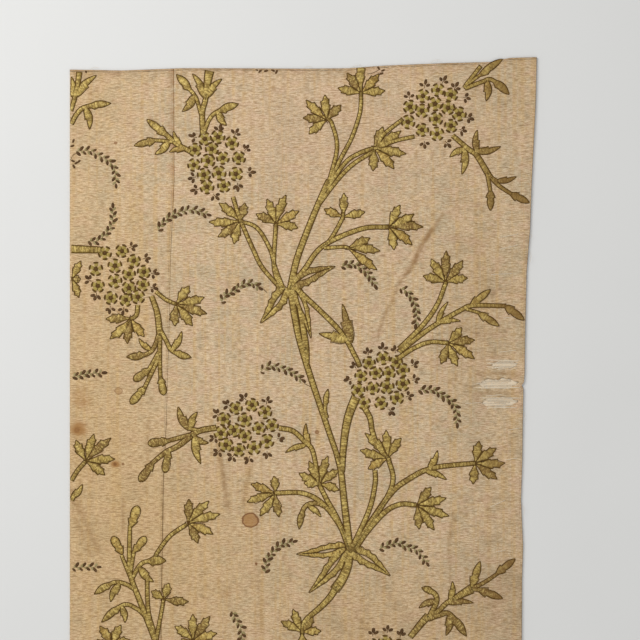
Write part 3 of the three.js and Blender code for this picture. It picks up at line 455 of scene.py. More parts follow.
# Loose silk ends past the turned edges: the cells that each runs through.
LOOSE_ENDS = [
    [(529.6, 234), (531.8, 236), (529.8, 239)], [(528.6, 251), (531, 256), (530, 262)],
    [(430, 64.5), (434, 60.5), (440, 60)], [(303, 69), (307, 66.4), (312, 67)],
    [(522, 410), (524.5, 414), (523.6, 420)], [(90, 70), (94, 67.4), (99, 68)],
    [(522, 505), (524.6, 509), (524, 515)], [(351, 68.5), (355, 65.6), (361, 65)],
]

# Half widths along a motif: share of the length, share of the width and, where the edge leans forward,
# by how much.
LOBE = [
    (0, 0.06), (0.1, 0.1), (0.2, 0.16), (0.3, 0.25), (0.38, 0.36), (0.46, 0.5, 0.05), (0.53, 0.38),
    (0.61, 0.42), (0.69, 0.48, 0.06), (0.77, 0.29), (0.86, 0.2), (0.94, 0.11), (1, 0.02),
]
LATE_LOBE = [
    (0, 0.06), (0.1, 0.1), (0.22, 0.18), (0.34, 0.3), (0.44, 0.42), (0.54, 0.51, 0.05), (0.61, 0.36),
    (0.69, 0.38), (0.77, 0.42, 0.06), (0.84, 0.25), (0.92, 0.14), (1, 0.02),
]
STEPPED = [
    (0, 0.14), (0.1, 0.34), (0.22, 0.47), (0.36, 0.5), (0.47, 0.49), (0.52, 0.56, 0.03), (0.56, 0.3),
    (0.66, 0.28), (0.78, 0.22), (0.9, 0.13), (1, 0.02),
]
PLAIN = [
    (0, 0.15), (0.12, 0.3), (0.28, 0.44), (0.45, 0.5), (0.6, 0.46), (0.75, 0.36), (0.88, 0.22),
    (0.95, 0.12), (1, 0.03),
]
BUD = [
    (0, 0.14), (0.1, 0.28), (0.21, 0.45), (0.3, 0.6, 0.07), (0.39, 0.38), (0.5, 0.42), (0.62, 0.44),
    (0.74, 0.38), (0.86, 0.26), (0.94, 0.15), (1, 0.03),
]
BROAD = [
    (0, 0.2), (0.05, 0.38), (0.12, 0.48), (0.2, 0.41), (0.29, 0.52, 0.01), (0.38, 0.4), (0.47, 0.45, 0.01),
    (0.57, 0.32), (0.66, 0.3, 0.01), (0.77, 0.19), (0.88, 0.12), (0.96, 0.06), (1, 0.02),
]
CLUB = [
    (0, 0.14), (0.1, 0.26), (0.21, 0.4), (0.3, 0.54, 0.05), (0.37, 0.36), (0.48, 0.42), (0.62, 0.48),
    (0.76, 0.48), (0.87, 0.4), (0.95, 0.25), (1, 0.06),
]
# A leaf's right profile, left profile and bend, by the side that its notch is on (2 for both).
LEAF_KINDS = {1: (PLAIN, STEPPED, -0.05), 2: (STEPPED, STEPPED, 0), -1: (STEPPED, PLAIN, 0.05)}
# Leaf at the end of a blade, on its outer and inner side.
BLADE_OUTER = [
    (0, 0), (0.2, 0.55), (0.4, 0.95), (0.6, 1), (0.78, 0.72), (0.92, 0.32), (1, 0.04),
]
BLADE_INNER = [
    (0, 0), (0.2, 0.6), (0.36, 1.1), (0.44, 0.72), (0.6, 0.8), (0.78, 0.6), (0.92, 0.28), (1, 0.04),
]

# Material slots of the gold work and of the floss work.
GOLD, OUTLINE, TIE = 0, 1, 2
GOLD_MATERIALS = ["laid_gilt_thread", "brown_couching_silk", "tying_silk"]
PETAL, END, SPRIG, SAGE = 0, 1, 2, 3
FLOSS_MATERIALS = ["olive_floss", "dark_floss", "brown_floss", "sage_floss"]

# Objects of the gold work and the sprays in each.
GOLD_GROUPS = {
    "gold_upper": ["upper"],
    "gold_lower": ["lower"],
    "gold_right": ["right", "topright", "sidebuds"],
    "gold_left": [
        "cornerleft", "cornerlow", "seamtop", "top", "middleleft", "leafc", "leafd", "leafe", "edge",
    ],
    "gold_foot": ["lowleft", "foot", "base", "leafn", "leafs", "leafu", "leafw"],
}
CLUB_BUDS = ("lowleft", "middleleft", "foot", "edge")  # sprays whose buds have round tips
TARNISH = {"base": 1.0, "sidebuds": 0.5, "lowleft": 0.5}  # how much browner a spray's gold has gone

SILK_MARKS = ("yellow", "rose", "dark", "crease", "stain")  # point attributes that the silk's material reads
WORK_MARKS = ("along", "across", "edge", "tint")  # and those that the thread's materials read
EDGE_BROWN_FROM, EDGE_BROWN_TO = 0.22, 0.31  # metres to the right over which the gold gets browner
SPOT_FLATNESS = 1.1  # how much wider than tall a spot is
SPOT_WANDER, SPOT_FADE_OUT, SPOT_FADE_IN = 0.0045, 0.0007, 0.0012  # metres that its edge wanders and fades
SPOT_FILL, SPOT_RIM = 0.72, 0.9  # colour inside it and at its rim

# Brown along the turned edges: edge, metres in from it, half width in metres, strength.
EDGE_BROWNS = [
    ("right", 0, 0.0050, 0.30), ("right", 0.0068, 0.0010, 0.34),
    ("top", 0, 0.0028, 0.75), ("top", 0, 0.0150, 0.38),
]
CREASE_BROWN_REACH = 1.3  # half width of a crease's brown, in widths of the crease
# Stains at the seam: metres to its left, half width, power of the fade, strength, ageing to start from.
SEAM_STAINS = [(0.0008, 0.0012, 2, 1, 0), (0.0042, 0.0040, 4, 0.55, 0), (0.0060, 0.0016, 2, 1, 0.25)]
SEAM_AGE, SEAM_AGE_AT_TOP, SEAM_AGE_ROWS = 0.25, 0.55, 250  # lowest ageing, what the top adds, its reach
SEAM_LINE, SEAM_LINE_WIDTH = 0.9, 0.0009  # strength and half width of the dark line in the lower seam
SEAM_LINE_ROW, SEAM_LINE_BLEND = 425, 8  # the row it starts from, and the rows it takes to come in
HOLLOW_PAINTED_SHADE = 0.18  # painted shade: how much darker the colour is made in the hollows of the crepe

SPLIT_PUSH_ROWS = 7.5  # rows over which the silk is pushed away from an opening
SPLIT_LEAST = 0.2  # least half height of an opening, in cells
SPLIT_ROUGHNESS = (0.45, 0.0042, 0.01, 21)  # share of its height, pitch along and across it, seed
SPLIT_SIDES = 0.05  # how far apart in the noise its upper and lower edge are read

# The laid thread and its cords, in metres unless it says otherwise.
THREAD_SINK = 0.0004  # how deep the edge of laid thread is let into the silk
FULL_RISE_WIDTH = 0.004  # width from which laid thread stands at its full height
STEM_RISE = 1.12  # height of a stem, in heights of a leaf
CORD_LIFT = 0.25  # how far an outline's middle lies over the silk, in its radii
EDGE_MARGIN, CUT_MARGIN = 1, 0.4  # cells that the work keeps from a turned and from a cut edge
STEM_STEP, BLADE_STEP, STALK_STEP, WEFT_STEP, END_STEP = 0.0030, 0.0024, 0.0015, 0.0025, 0.0012
TIE_RADIUS, TIE_END = 0.00022, 0.002  # and the end of a stem that has no ties
TIE_PLACES = np.array([-0.9, -0.45, 0, 0.45, 0.9])  # along a tying stitch, in half widths of the stem
SLIT_FROM, SLIT_LENGTH = 0.14, 0.46  # of a broad leaf, in shares of its length
BROAD_BEND = 0.03
PALM_LINES = ((-3.0, 1.9), (1.0, 1.6), (4.0, 1.3), (6.5, 1.1))  # cells ahead and aside of a palm's middle
PALM_LINE_RADIUS, PALM_LINE_SPREAD = 0.00045, 2.5  # metres, and cells that their ends vary by
LOBE_WIDTH = 1.04  # width of a lobe, in widths of its palm
DAB_PLACES = np.array([0.01, 0.12, 0.3, 0.5, 0.7, 0.88, 0.99])  # along a satin-stitch dab
DAB_ARCH = np.array([-1, -0.6, 0.6, 1])  # and across it
DAB_SINK = 0.0002

# Stitches of a floret in cells, and their rises in metres.
PETALS = 5
PETAL_FROM, PETAL_TO, PETAL_WIDTH = 1.6, 6.9, 5.1
PETAL_END_AT, PETAL_END_REACH, PETAL_END_WIDTH = 6.0, 2.8, 2.7
GROUND_REACH, GROUND_WIDTH = 5.0, 10.0
MIDDLE_REACH, MIDDLE_WIDTH = 2.9, 3.0
KNOT_REACH, KNOT_WIDTH = 1.8, 2.4
GROUND_RISE, FLOSS_RISE, DARK_RISE = 0.0002, 0.0008, 0.0010

# Leaves of a rim sprig: turn in radians, first and last distance and width in cells.
SPRIG_LEAVES = ((0.0, 1.6, 7.6, 3.8), (1.05, 1.1, 6.4, 3.5), (-1.05, 1.1, 6.4, 3.5))
SPRIG_BACK = -2.6  # cells from a sprig's cell back to its foot
SPRIG_STALK = (-1.6, 0.2, 2.2)  # cells ahead of the foot

# Seeds along a stalk, in cells, and thin cords in metres.
SEED_PITCH, SEED_FROM, SEED_LENGTH, SEED_WIDTH = 3.3, 0.3, 6.3, 3.4
SEED_STALK_RADIUS, SPRIG_RADIUS, CUT_STALK_RADIUS = 0.00042, 0.0005, 0.00045
CUT_TIP_REACH, CUT_TIP_WIDTH, CUT_TIP_RISE = 2.4, 2.6, 0.0007

# Loose silk. The pale patch under each opening: rise and lift in metres, and height in openings.
PATCH_RISE, PATCH_LIFT, PATCH_HEIGHT = 0.0001, -0.0009, 1.7
THREADS_A_SPLIT = 9
WEFT_RADIUS, WEFT_LIFT, LOOSE_END_RADIUS = 0.0004, 0.0003, 0.00015

# Stage.
FLOOR_HALF, FLOOR_DROP = 6.0, 0.0002
VIEW_MIDDLE = (0.02414, 0.0486, 0)  # what the camera looks at: column 320 and row 320

ARCH = np.array([-1, -0.88, -0.66, -0.24, 0.24, 0.66, 0.88, 1])  # places across a raised motif
ROUND = np.radians([180, 120, 60, 0, -60, -120])  # places round a cord


def linear(code):
    """sRGB hex such as "#C9AC84" to linear red, green and blue."""
    shares = [int(code[i:i + 2], 16) / 255 for i in (1, 3, 5)]
    return tuple(s / 12.92 if s <= 0.04045 else ((s + 0.055) / 1.055) ** 2.4 for s in shares)


def panel():
    """The user's sizes for the cloths and the thread."""
    return bpy.context.scene.silk_panel_sizes


def colours():
    """The user's colours."""
    return bpy.context.scene.silk_panel_colours


def at(cells):
    """Cells to metres: x = (column - middle column) cell, y = (middle row - row) cell."""
    cells = np.asarray(cells, float)
    return np.stack([(cells[..., 0] - MIDDLE_COLUMN) * CELL, (MIDDLE_ROW - cells[..., 1]) * CELL], -1)


def line_at(line, places, axis):
    """The other coordinate of a boundary line in cells, read at places on one axis (0 column, 1 row)."""
    points = np.asarray(line, float)
    return np.interp(places, points[:, axis], points[:, 1 - axis])


def boundary(line, off=0.0):
    """The column of a boundary line as a function of the row, moved to the right by off in metres."""
    return lambda row: line_at(line, row, 1) + off / CELL


def relief(x, y):
    """Lie of the cloth: two long sine swells, and a straight rise over the last stretch to the right edge."""
    swells = sum(SWELL * (1 + np.sin(x / right + y / up)) for right, up in WAVES)
    edge = (line_at(RIGHT_EDGE, MIDDLE_ROW - y / CELL, 1) - MIDDLE_COLUMN) * CELL
    return swells + EDGE_LIFT * np.maximum(0, 1 - (edge - x) / EDGE_LIFT_WIDTH)


def lattice_noise(x, y, pitch_x, pitch_y, seed):
    """Random heights from -1 to 1 on a lattice of the two pitches, joined by the curve 3f^2 - 2f^3."""
    table = np.random.default_rng(seed).uniform(-1, 1, (LATTICE, LATTICE))
    across, up = x / pitch_x + LATTICE_SHIFT, y / pitch_y + LATTICE_SHIFT
    i, j = np.floor(across).astype(int), np.floor(up).astype(int)
    f, g = across - i, up - j
    f, g = f * f * (3 - 2 * f), g * g * (3 - 2 * g)
    i, j, beside, above = i % LATTICE, j % LATTICE, (i + 1) % LATTICE, (j + 1) % LATTICE
    low = table[i, j] * (1 - f) + table[beside, j] * f
    high = table[i, above] * (1 - f) + table[beside, above] * f
    return low * (1 - g) + high * g


def crepe(x, y):
    """Wrinkles of the crepe weave: two lattice noises drawn out along the weft, waved by a third, and
    broader puckers."""
    bend = CREPE_BEND[0] * lattice_noise(x, y, *CREPE_BEND[1:])
    heights = [(CREPE_COARSE, y + bend), (CREPE_FINE, y + bend), (CREPE_PUCKER, y)]
    return panel().crepe_height * sum(row[0] * lattice_noise(x, up, *row[1:]) for row, up in heights)


def distance_to(path, x, y):
    """Shortest distance from each point to a path of cells, taken over its straight legs."""
    points = at(path)
    best = np.full(np.shape(x), np.inf)
    for a, b in zip(points[:-1], points[1:]):
        leg = b - a
        share = np.clip(((x - a[0]) * leg[0] + (y - a[1]) * leg[1]) / (leg @ leg), 0, 1)
        best = np.minimum(best, np.hypot(x - a[0] - share * leg[0], y - a[1] - share * leg[1]))
    return best


def run_along(points):
    """Length along a line up to each of its points."""
    return np.concatenate([[0], np.cumsum(np.linalg.norm(np.diff(points, axis=0), axis=1))])


def read_at(distance, length, values):
    """Pairs of values, given at lengths along a line, read at other distances along it."""
    return np.stack([np.interp(distance, length, values[:, k]) for k in (0, 1)], -1)


def heading(start, end):
    """The vector from start to end, its length, and the unit vectors ahead and to the left."""
    axis = end - start
    length = np.linalg.norm(axis)
    ahead = axis / length
    return axis, length, ahead, np.array([-ahead[1], ahead[0]])


def curve_through(cells, step):
    """Catmull-Rom curve through the cells, at even steps: points in metres and the length up to each."""
    p = at(cells)
    ends = np.vstack([2 * p[0] - p[1], p, 2 * p[-1] - p[-2]])
    t = np.linspace(0, len(p) - 1, CURVE_SAMPLES * (len(p) - 1) + 1)
    i = np.minimum(t.astype(int), len(p) - 2)
    f = (t - i)[:, None]
    a, b, c, d = ends[i], ends[i + 1], ends[i + 2], ends[i + 3]
    fine = (2 * b + (c - a) * f + (2 * a - 5 * b + 4 * c - d) * f ** 2 + (3 * b - a - 3 * c + d) * f ** 3) / 2
    run = run_along(fine)
    length = np.linspace(0, run[-1], max(round(run[-1] / step), 6) + 1)
    return read_at(length, run, fine), length


def sideways(path, closed=False):
    """Unit vectors to the left of a flat path, square to the line between each point's neighbours."""
    if closed:
        run = np.roll(path, -1, axis=0) - np.roll(path, 1, axis=0)
    else:
        run = np.gradient(path, axis=0)
    run = run / np.maximum(np.linalg.norm(run, axis=1, keepdims=True), 1e-9)
    return np.stack([-run[:, 1], run[:, 0]], -1)


def on_cloth(points):
    """Keeps flat points a little inside the cloth's outline, where the turned edges hold them."""
    column = np.clip(points[..., 0] / CELL + MIDDLE_COLUMN, LEFT_COLUMN + CUT_MARGIN, None)
    row = np.clip(MIDDLE_ROW - points[..., 1] / CELL, None, BOTTOM_ROW - CUT_MARGIN)
    column = np.minimum(column, line_at(RIGHT_EDGE, row, 1) - EDGE_MARGIN)
    row = np.maximum(row, line_at(TOP_EDGE, column, 0) + EDGE_MARGIN)
    return at(np.stack([column, row], -1))


def loft_faces(rows, ring, closed):
    """Quads between the rings of a loft; an open one gets a cap of quads at each end."""
    i = np.arange(rows if closed else rows - 1)[:, None]
    j = np.arange(ring)[None, :]
    after, beside = (i + 1) % rows, (j + 1) % ring
    sides = np.stack([i * ring + j, after * ring + j, after * ring + beside, i * ring + beside], -1)
    k = np.arange(0 if closed else ring // 2 - 1)
    cap = np.stack([k, k + 1, ring - 2 - k, ring - 1 - k], -1)
    return np.vstack([sides.reshape(-1, 4), cap, cap[:, ::-1] + (rows - 1) * ring])


class Work:
    """Lofts gathered for one mesh, with the lengths in metres and the tint that their materials read."""

    def __init__(self):
        self.count = 0
        self.points = []
        self.faces = []
        self.slots = []
        self.marks = {key: [] for key in WORK_MARKS}
        self.tarnish = 0.0

    def loft(self, rings, slot, along, across, tint, closed=False, edge=0.0):
        """Adds rings of points (rows, places, 3). along has a value a row; across and edge one a place."""
        rows, ring = rings.shape[:2]
        faces = loft_faces(rows, ring, closed)
        self.points.append(rings.reshape(-1, 3))
        self.faces.append(faces + self.count)
        self.slots.append(np.full(len(faces), slot))
        values = (np.reshape(along, (-1, 1)), across, edge, tint - self.tarnish)
        for key, value in zip(WORK_MARKS, values):
            self.marks[key].append(np.broadcast_to(value, (rows, ring)).ravel())
        self.count += rows * ring

    def raised(self, right, left, rise, slot, tint):
        """Laid thread between two edge lines: P(s, t) = right (1 - t)/2 + left (1 + t)/2, standing
        rise (1 - |t|^4) over the silk, with t from -1 to 1, and closed underneath. The mark "edge"
        reaches 1 at both edges and over the last fifth of the length."""
        share = (1 + ARCH[None, :, None]) / 2
        flat = on_cloth(right[:, None, :] * (1 - share) + left[:, None, :] * share)
        width = np.linalg.norm(left - right, axis=1)
        fill = np.minimum(1, width / FULL_RISE_WIDTH)[:, None]
        height = SILK_TOP - THREAD_SINK + relief(flat[..., 0], flat[..., 1])
        height = height + (THREAD_SINK + rise * fill) * (1 - np.abs(ARCH) ** 4)
        along = run_along((right + left) / 2)
        across = ARCH * width[:, None] / 2
        tip = np.clip(along / along[-1] * 5 - 4, 0, 1)[:, None]
        self.loft(np.dstack([flat, height]), slot, along, across, tint, edge=np.maximum(np.abs(ARCH), tip))

    def cord(self, path, radius, slot, tint, lift=0.0, closed=False, loose=False):
        """Round thread along a flat path: P(s, a) = path + radius (cos a side + sin a up), lying on the
        silk, and held inside its outline unless it is loose."""
        side = sideways(path, closed)
        middle = path if loose else on_cloth(path)
        flat = path[:, None, :] + radius * np.cos(ROUND)[None, :, None] * side[:, None, :]
        flat = flat if loose else on_cloth(flat)
        height = SILK_TOP + relief(middle[:, 0], middle[:, 1]) + lift
        height = height[:, None] + radius * np.sin(ROUND)
        self.loft(np.dstack([flat, height]), slot, run_along(path), radius * np.cos(ROUND), tint, closed)

    def mesh(self, name, materials):
        """One object of all that was added, at the origin."""
        marks = {key: np.concatenate(values) for key, values in self.marks.items()}
        return mesh_object(
            name, np.vstack(self.points), np.vstack(self.faces), materials, np.concatenate(self.slots), marks
        )


def mesh_object(name, points, faces, materials, slots=None, marks=None):
    """Object at the origin from arrays of points, quads, material slots and float marks for each point."""
    mesh = bpy.data.meshes.new(name)
    mesh.from_pydata(points.tolist(), [], faces.tolist())
    for material in materials:
        mesh.materials.append(material)
    if slots is not None:
        mesh.polygons.foreach_set("material_index", slots.astype(np.int32))
    for key, values in (marks or {}).items():
        attribute = mesh.attributes.new(key, "FLOAT", "POINT")
        attribute.data.foreach_set("value", np.asarray(values, np.float32))
    mesh.polygons.foreach_set("use_smooth", np.ones(len(faces), bool))
    mesh.update()
    piece = bpy.data.objects.new(name, mesh)
    bpy.context.scene.collection.objects.link(piece)
    return piece


def place_piece(piece, nodes):
    """Hands a finished piece to the frame: it rides on the one body and stands for its CAD nodes."""
    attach(piece, "root")
    if nodes:
        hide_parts(*nodes)


def place_work(work, name, materials, nodes):
    """One object of a finished Work, placed on the frame."""
    place_piece(work.mesh(name, [material_of(material) for material in materials]), nodes)


def node(tree, kind, values=None, out=0, **settings):
    """Adds a shader node: settings are its properties, and values fill or link its inputs by name or
    number. Returns one output, by name or number."""
    made = tree.nodes.new("ShaderNode" + kind)
    for key, value in settings.items():
        setattr(made, key, value)
    for key, value in (values or {}).items():
        socket = made.inputs[key]
        if isinstance(value, bpy.types.NodeSocket):
            tree.links.new(value, socket)
        elif socket.type == "RGBA":
            socket.default_value = (*value, 1)
        else:
            socket.default_value = value
    return made.outputs[out]


def new_material(name, roughness, specular=0.5, sheen=0.0, metallic=0.0):
    """A material with its constants set on its shader: returns it, its tree and the shader."""
    material = bpy.data.materials.new(name)
    material.use_nodes = True
    shader = material.node_tree.nodes["Principled BSDF"]
    shader.inputs["Roughness"].default_value = roughness
    shader.inputs["Specular IOR Level"].default_value = specular
    shader.inputs["Metallic"].default_value = metallic
    shader.inputs["Sheen Weight"].default_value = sheen
    shader.inputs["Sheen Roughness"].default_value = 0.4
    return material, material.node_tree, shader


def patterns(tree, source, table):
    """Noises by name: each row of the table has the pitch in metres along x, y and z, and the detail."""
    made = {}
    for number, (name, (pitch, detail)) in enumerate(table.items()):
        spread = node(
            tree, "Mapping",
            {"Vector": source, "Location": (number * 5, number * 3, 0), "Scale": tuple(1 / p for p in pitch)},
        )
        sizes = {"Vector": spread, "Scale": 1, "Detail": detail, "Roughness": 0.55}
        made[name] = node(tree, "TexNoise", sizes)
    return made


def layered(tree, tone, layers):
    """Lays colours over a tone: each layer is a value, the value where it starts, the value where it
    is full, its full strength, and its colour."""
    for value, start, full, strength, colour in layers:
        share = node(
            tree, "MapRange",
            {"Value": value, "From Min": start, "From Max": full, "To Min": 0, "To Max": strength},
            interpolation_type="SMOOTHSTEP",
        )
        tone = node(tree, "Mix", {0: share, 6: tone, 7: colour}, 2, data_type="RGBA")
    return tone


def dress(tree, shader, tone, heights, strength, distance):
    """Links a colour to a shader, and a bump of a strength and distance from the sum of some heights."""
    tree.links.new(tone, shader.inputs["Base Color"])
    total = heights[0]
    for height in heights[1:]:
        total = node(tree, "Math", {0: total, 1: height}, operation="ADD")
    bump = node(tree, "Bump", {"Height": total, "Strength": strength, "Distance": distance})
    tree.links.new(bump, shader.inputs["Normal"])


def silk_material():
    """Aged crepe silk, woven with hard-twisted weft: fine streaks along the weft, painted as shade where the
    weft's bump is low, a soft sheen, uneven yellowing, painted shade in the crepe's hollows, brown creases
    and a few stains."""
    material, tree, shader = new_material("aged_crepe_silk", 0.7, specular=0.3, sheen=0.08)
    c = colours()
    place = node(tree, "TexCoord", out="Object")
    wave = patterns(tree, place, {"wave": ((0.024, 0.016, 1), 1)})["wave"]
    shift = node(tree, "CombineXYZ", {"Y": node(tree, "Math", {0: wave, 1: 0.006}, operation="MULTIPLY")})
    bent = node(tree, "VectorMath", {0: place, 1: shift}, operation="ADD")
    weft = patterns(tree, bent, {
        "streak": ((0.0080, 0.0015, 1), 3),
        "line": ((0.026, 0.0016, 1), 2),
        "grain": ((0.0022, 0.0012, 1), 2),
    })
    wide = patterns(tree, place, {
        "band": ((0.007, 0.3, 1), 2),
        "fleck": ((0.011, 0.008, 1), 2),
        "blush": ((0.010, 0.008, 1), 2),
        "cloud": ((0.055, 0.070, 1), 3),
        "worn": ((0.030, 0.022, 1), 3),
    })
    marks = {name: node(tree, "Attribute", out="Fac", attribute_name=name) for name in SILK_MARKS}
    ragged = node(tree, "Math", {0: marks["stain"], 1: wide["worn"]}, operation="MULTIPLY")
    rubbed = node(tree, "Math", {0: marks["crease"], 1: wide["fleck"]}, operation="MULTIPLY")
    tone = layered(tree, c.silk_light, [
        (wide["cloud"], 0.40, 0.66, 0.65, c.silk_grey),
        (wide["fleck"], 0.50, 0.68, 0.60, c.silk_grey),
        (wide["fleck"], 0.46, 0.28, 0.50, c.silk_yellow),
        (wide["band"], 0.46, 0.66, 0.60, c.silk_yellow),
        (wide["blush"], 0.52, 0.70, 0.55, c.silk_rose),
        (wide["worn"], 0.50, 0.68, 0.65, c.silk_rose),
        (wide["worn"], 0.47, 0.30, 0.50, c.silk_grey),
        (marks["yellow"], 0.0, 1.0, 0.55, c.silk_yellow),
        (marks["rose"], 0.0, 0.8, 0.45, c.silk_rose),
        # The dark mark holds the tones' darkening, the seam's dark line and painted shade in the crepe's
        # hollows.
        (marks["dark"], 0.0, 1.0, 0.85, c.silk_dark_and_shade),
    ])
    # Painted shade: the weft's streaks, grain and lines darken the colour where the bump of the same noises
    # is low.
    shade = layered(tree, (1, 1, 1), [
        (weft["streak"], 0.62, 0.34, 0.85, c.weft_shade),
        (weft["grain"], 0.58, 0.36, 0.45, c.weft_shade),
        (weft["line"], 0.42, 0.29, 0.60, c.weft_groove_shade),
    ])
    tone = node(tree, "Mix", {0: 1, 6: tone, 7: shade}, 2, data_type="RGBA", blend_type="MULTIPLY")
    tone = layered(tree, tone, [
        (rubbed, 0.0, 0.60, 0.85, c.crease_brown),
        (ragged, 0.04, 0.5, 0.85, c.stain_tan),
    ])
    # The spots' edges wander a little, as a dried drop's do.
    flat = node(tree, "VectorMath", {0: place, 1: (1, SPOT_FLATNESS, 0)}, operation="MULTIPLY")
    wander = node(tree, "Math", {0: wide["fleck"], 1: SPOT_WANDER}, operation="MULTIPLY")
    for column, row, radius, rim, strength in SPOTS:
        x, y = at((column, row))
        reach = node(
            tree, "VectorMath", {0: flat, 1: (x, y * SPOT_FLATNESS, 0)}, "Value", operation="DISTANCE"
        )
        reach = node(tree, "Math", {0: reach, 1: wander}, operation="ADD")
        edge = radius * CELL + SPOT_WANDER / 2
        off_rim = node(tree, "Math", {0: reach, 1: edge - rim * CELL / 2}, operation="SUBTRACT")
        off_rim = node(tree, "Math", {0: off_rim}, operation="ABSOLUTE")
        tone = layered(tree, tone, [
            (reach, edge + SPOT_FADE_OUT, edge - SPOT_FADE_IN, SPOT_FILL * strength, c.stain_tan),
            (off_rim, rim * CELL * 0.75, 0, SPOT_RIM * strength, c.stain_rim),
        ])
    half_grain = node(tree, "Math", {0: weft["grain"], 1: 0.5}, operation="MULTIPLY")
    dress(tree, shader, tone, [weft["streak"], half_grain, weft["line"]], 0.55, 0.0008)
    return material


def lining_material():
    """Undyed plain-weave lining: even threads both ways, matt, a little greyed."""
    material, tree, shader = new_material("undyed_plain_weave", 0.9)
    c = colours()
    threads = patterns(tree, node(tree, "TexCoord", out="Object"), {
        "warp": ((0.0011, 0.012, 1), 1),
        "weft": ((0.012, 0.0012, 1), 1),
        "cloud": ((0.03, 0.03, 1), 2),
    })
    tone = layered(tree, c.lining_light, [
        (threads["warp"], 0.45, 0.7, 0.35, c.lining_shade),
        (threads["weft"], 0.45, 0.7, 0.45, c.lining_shade),
        (threads["cloud"], 0.45, 0.8, 0.40, c.lining_shade),
    ])
    dress(tree, shader, tone, [threads["warp"], threads["weft"]], 0.5, 0.0005)
    return material


def laid_gold_material():
    """Gilt thread, a gold strip wound on a silk core, laid side by side over padding: dulled to olive gold,
    with painted highlights where the thread's bump is high and painted shade in the dips between the threads,
    the same two colours as bands and a mottle, painted shade at the edges and tips where the thread turns
    down, and brown where it has tarnished."""
    material, tree, shader = new_material("laid_gilt_thread", 0.5, specular=0.3, metallic=0.25)
    c = colours()
    place = node(tree, "TexCoord", out="Object")
    marks = {name: node(tree, "Attribute", out="Fac", attribute_name=name) for name in WORK_MARKS}
    right = node(tree, "SeparateXYZ", {0: place}, "X")
    lie = node(tree, "CombineXYZ", {"X": marks["across"], "Y": marks["along"], "Z": marks["tint"]})
    thread = patterns(tree, lie, {
        "bar": ((0.012, 0.0036, 0.3), 1),
        "ply": ((0.0060, 0.0013, 0.3), 1),
        "glint": ((0.0026, 0.0018, 0.3), 2),
    })
    cloud = patterns(tree, place, {"cloud": ((0.009, 0.009, 1), 2)})["cloud"]
    tone = layered(tree, c.gold, [
        (marks["tint"], 0.60, 1.0, 0.45, c.gold_amber),
        (marks["tint"], -0.15, -1.1, 0.95, c.gold_brown),
        # The bar and cloud rows are bands and a mottle of tone; the ply and glint rows are painted highlight
        # where the bump is high and painted shade where it is low.
        (thread["bar"], 0.52, 0.34, 0.60, c.gold_shade_and_mottle),
        (thread["bar"], 0.52, 0.68, 0.50, c.gold_highlight_and_mottle),
        (thread["ply"], 0.54, 0.34, 0.65, c.gold_shade_and_mottle),
        (thread["glint"], 0.50, 0.70, 0.55, c.gold_highlight_and_mottle),
        (thread["glint"], 0.48, 0.30, 0.50, c.gold_shade_and_mottle),
        (cloud, 0.52, 0.72, 0.35, c.gold_highlight_and_mottle),
        (cloud, 0.45, 0.28, 0.40, c.gold_shade_and_mottle),
        # Painted shade at the edges and the last fifth of each raised motif, where the laid thread turns down
        # into the silk.
        (marks["edge"], 0.45, 1.0, 0.70, c.gold_shade_and_mottle),
        (right, EDGE_BROWN_FROM, EDGE_BROWN_TO, 0.75, c.gold_brown),
    ])
    dress(tree, shader, tone, [thread["ply"], thread["glint"]], 0.7, 0.0006)
    return material


def floss_material(name, light, dark, rim, roughness):
    """Untwisted silk floss in satin stitch: fine strands along each stitch, with painted shade between them,
    and a rim of its own colour where the stitches turn down into the silk."""
    material, tree, shader = new_material(name, roughness, specular=0.15)
    marks = {name: node(tree, "Attribute", out="Fac", attribute_name=name) for name in WORK_MARKS}
    lie = node(tree, "CombineXYZ", {"X": marks["across"], "Y": marks["along"], "Z": marks["tint"]})
    strand = patterns(tree, lie, {"strand": ((0.0009, 0.006, 0.3), 2), "patch": ((0.004, 0.004, 0.3), 1)})
    tone = layered(tree, light, [
        # Painted shade between the strands, where the strand bump is low; the patch and tint rows are a
        # mottle.
        (strand["strand"], 0.52, 0.35, 0.6, dark),
        (strand["patch"], 0.45, 0.70, 0.5, dark),
        (marks["tint"], 0.0, 1.0, 0.40, dark),
        (marks["edge"], 0.45, 0.9, 0.8, rim),
    ])
    dress(tree, shader, tone, [strand["strand"]], 0.4, 0.0003)
    return material


def material_of(name):
    """The material of that name, made the first time it is asked for."""
    if name in bpy.data.materials:
        return bpy.data.materials[name]
    c = colours()
    # Each row: floss colour, the painted shade between its strands (also its mottle), rim and roughness; the
    # dark and brown floss take their shade colour as the rim, painted shade where the stitches turn down.
    floss = {
        "brown_couching_silk": (c.outline, c.outline_shade, c.outline, 0.8),
        "tying_silk": (c.tie, c.outline, c.tie, 0.75),
        "olive_floss": (c.petal_light, c.petal_shade, c.petal_rim, 0.7),
        "dark_floss": (c.petal_end, c.petal_end_shade, c.petal_end_shade, 0.8),
        "brown_floss": (c.sprig, c.sprig_shade, c.sprig_shade, 0.8),
        "sage_floss": (c.sage, c.petal_shade, c.sage, 0.8),
        "pale_silk_end": (c.bare_weft, c.silk_light, c.bare_weft, 0.7),
    }
    if name in floss:
        return floss_material(name, *floss[name])
    return {
        "aged_crepe_silk": silk_material,
        "undyed_plain_weave": lining_material,
        "laid_gilt_thread": laid_gold_material,
    }[name]()


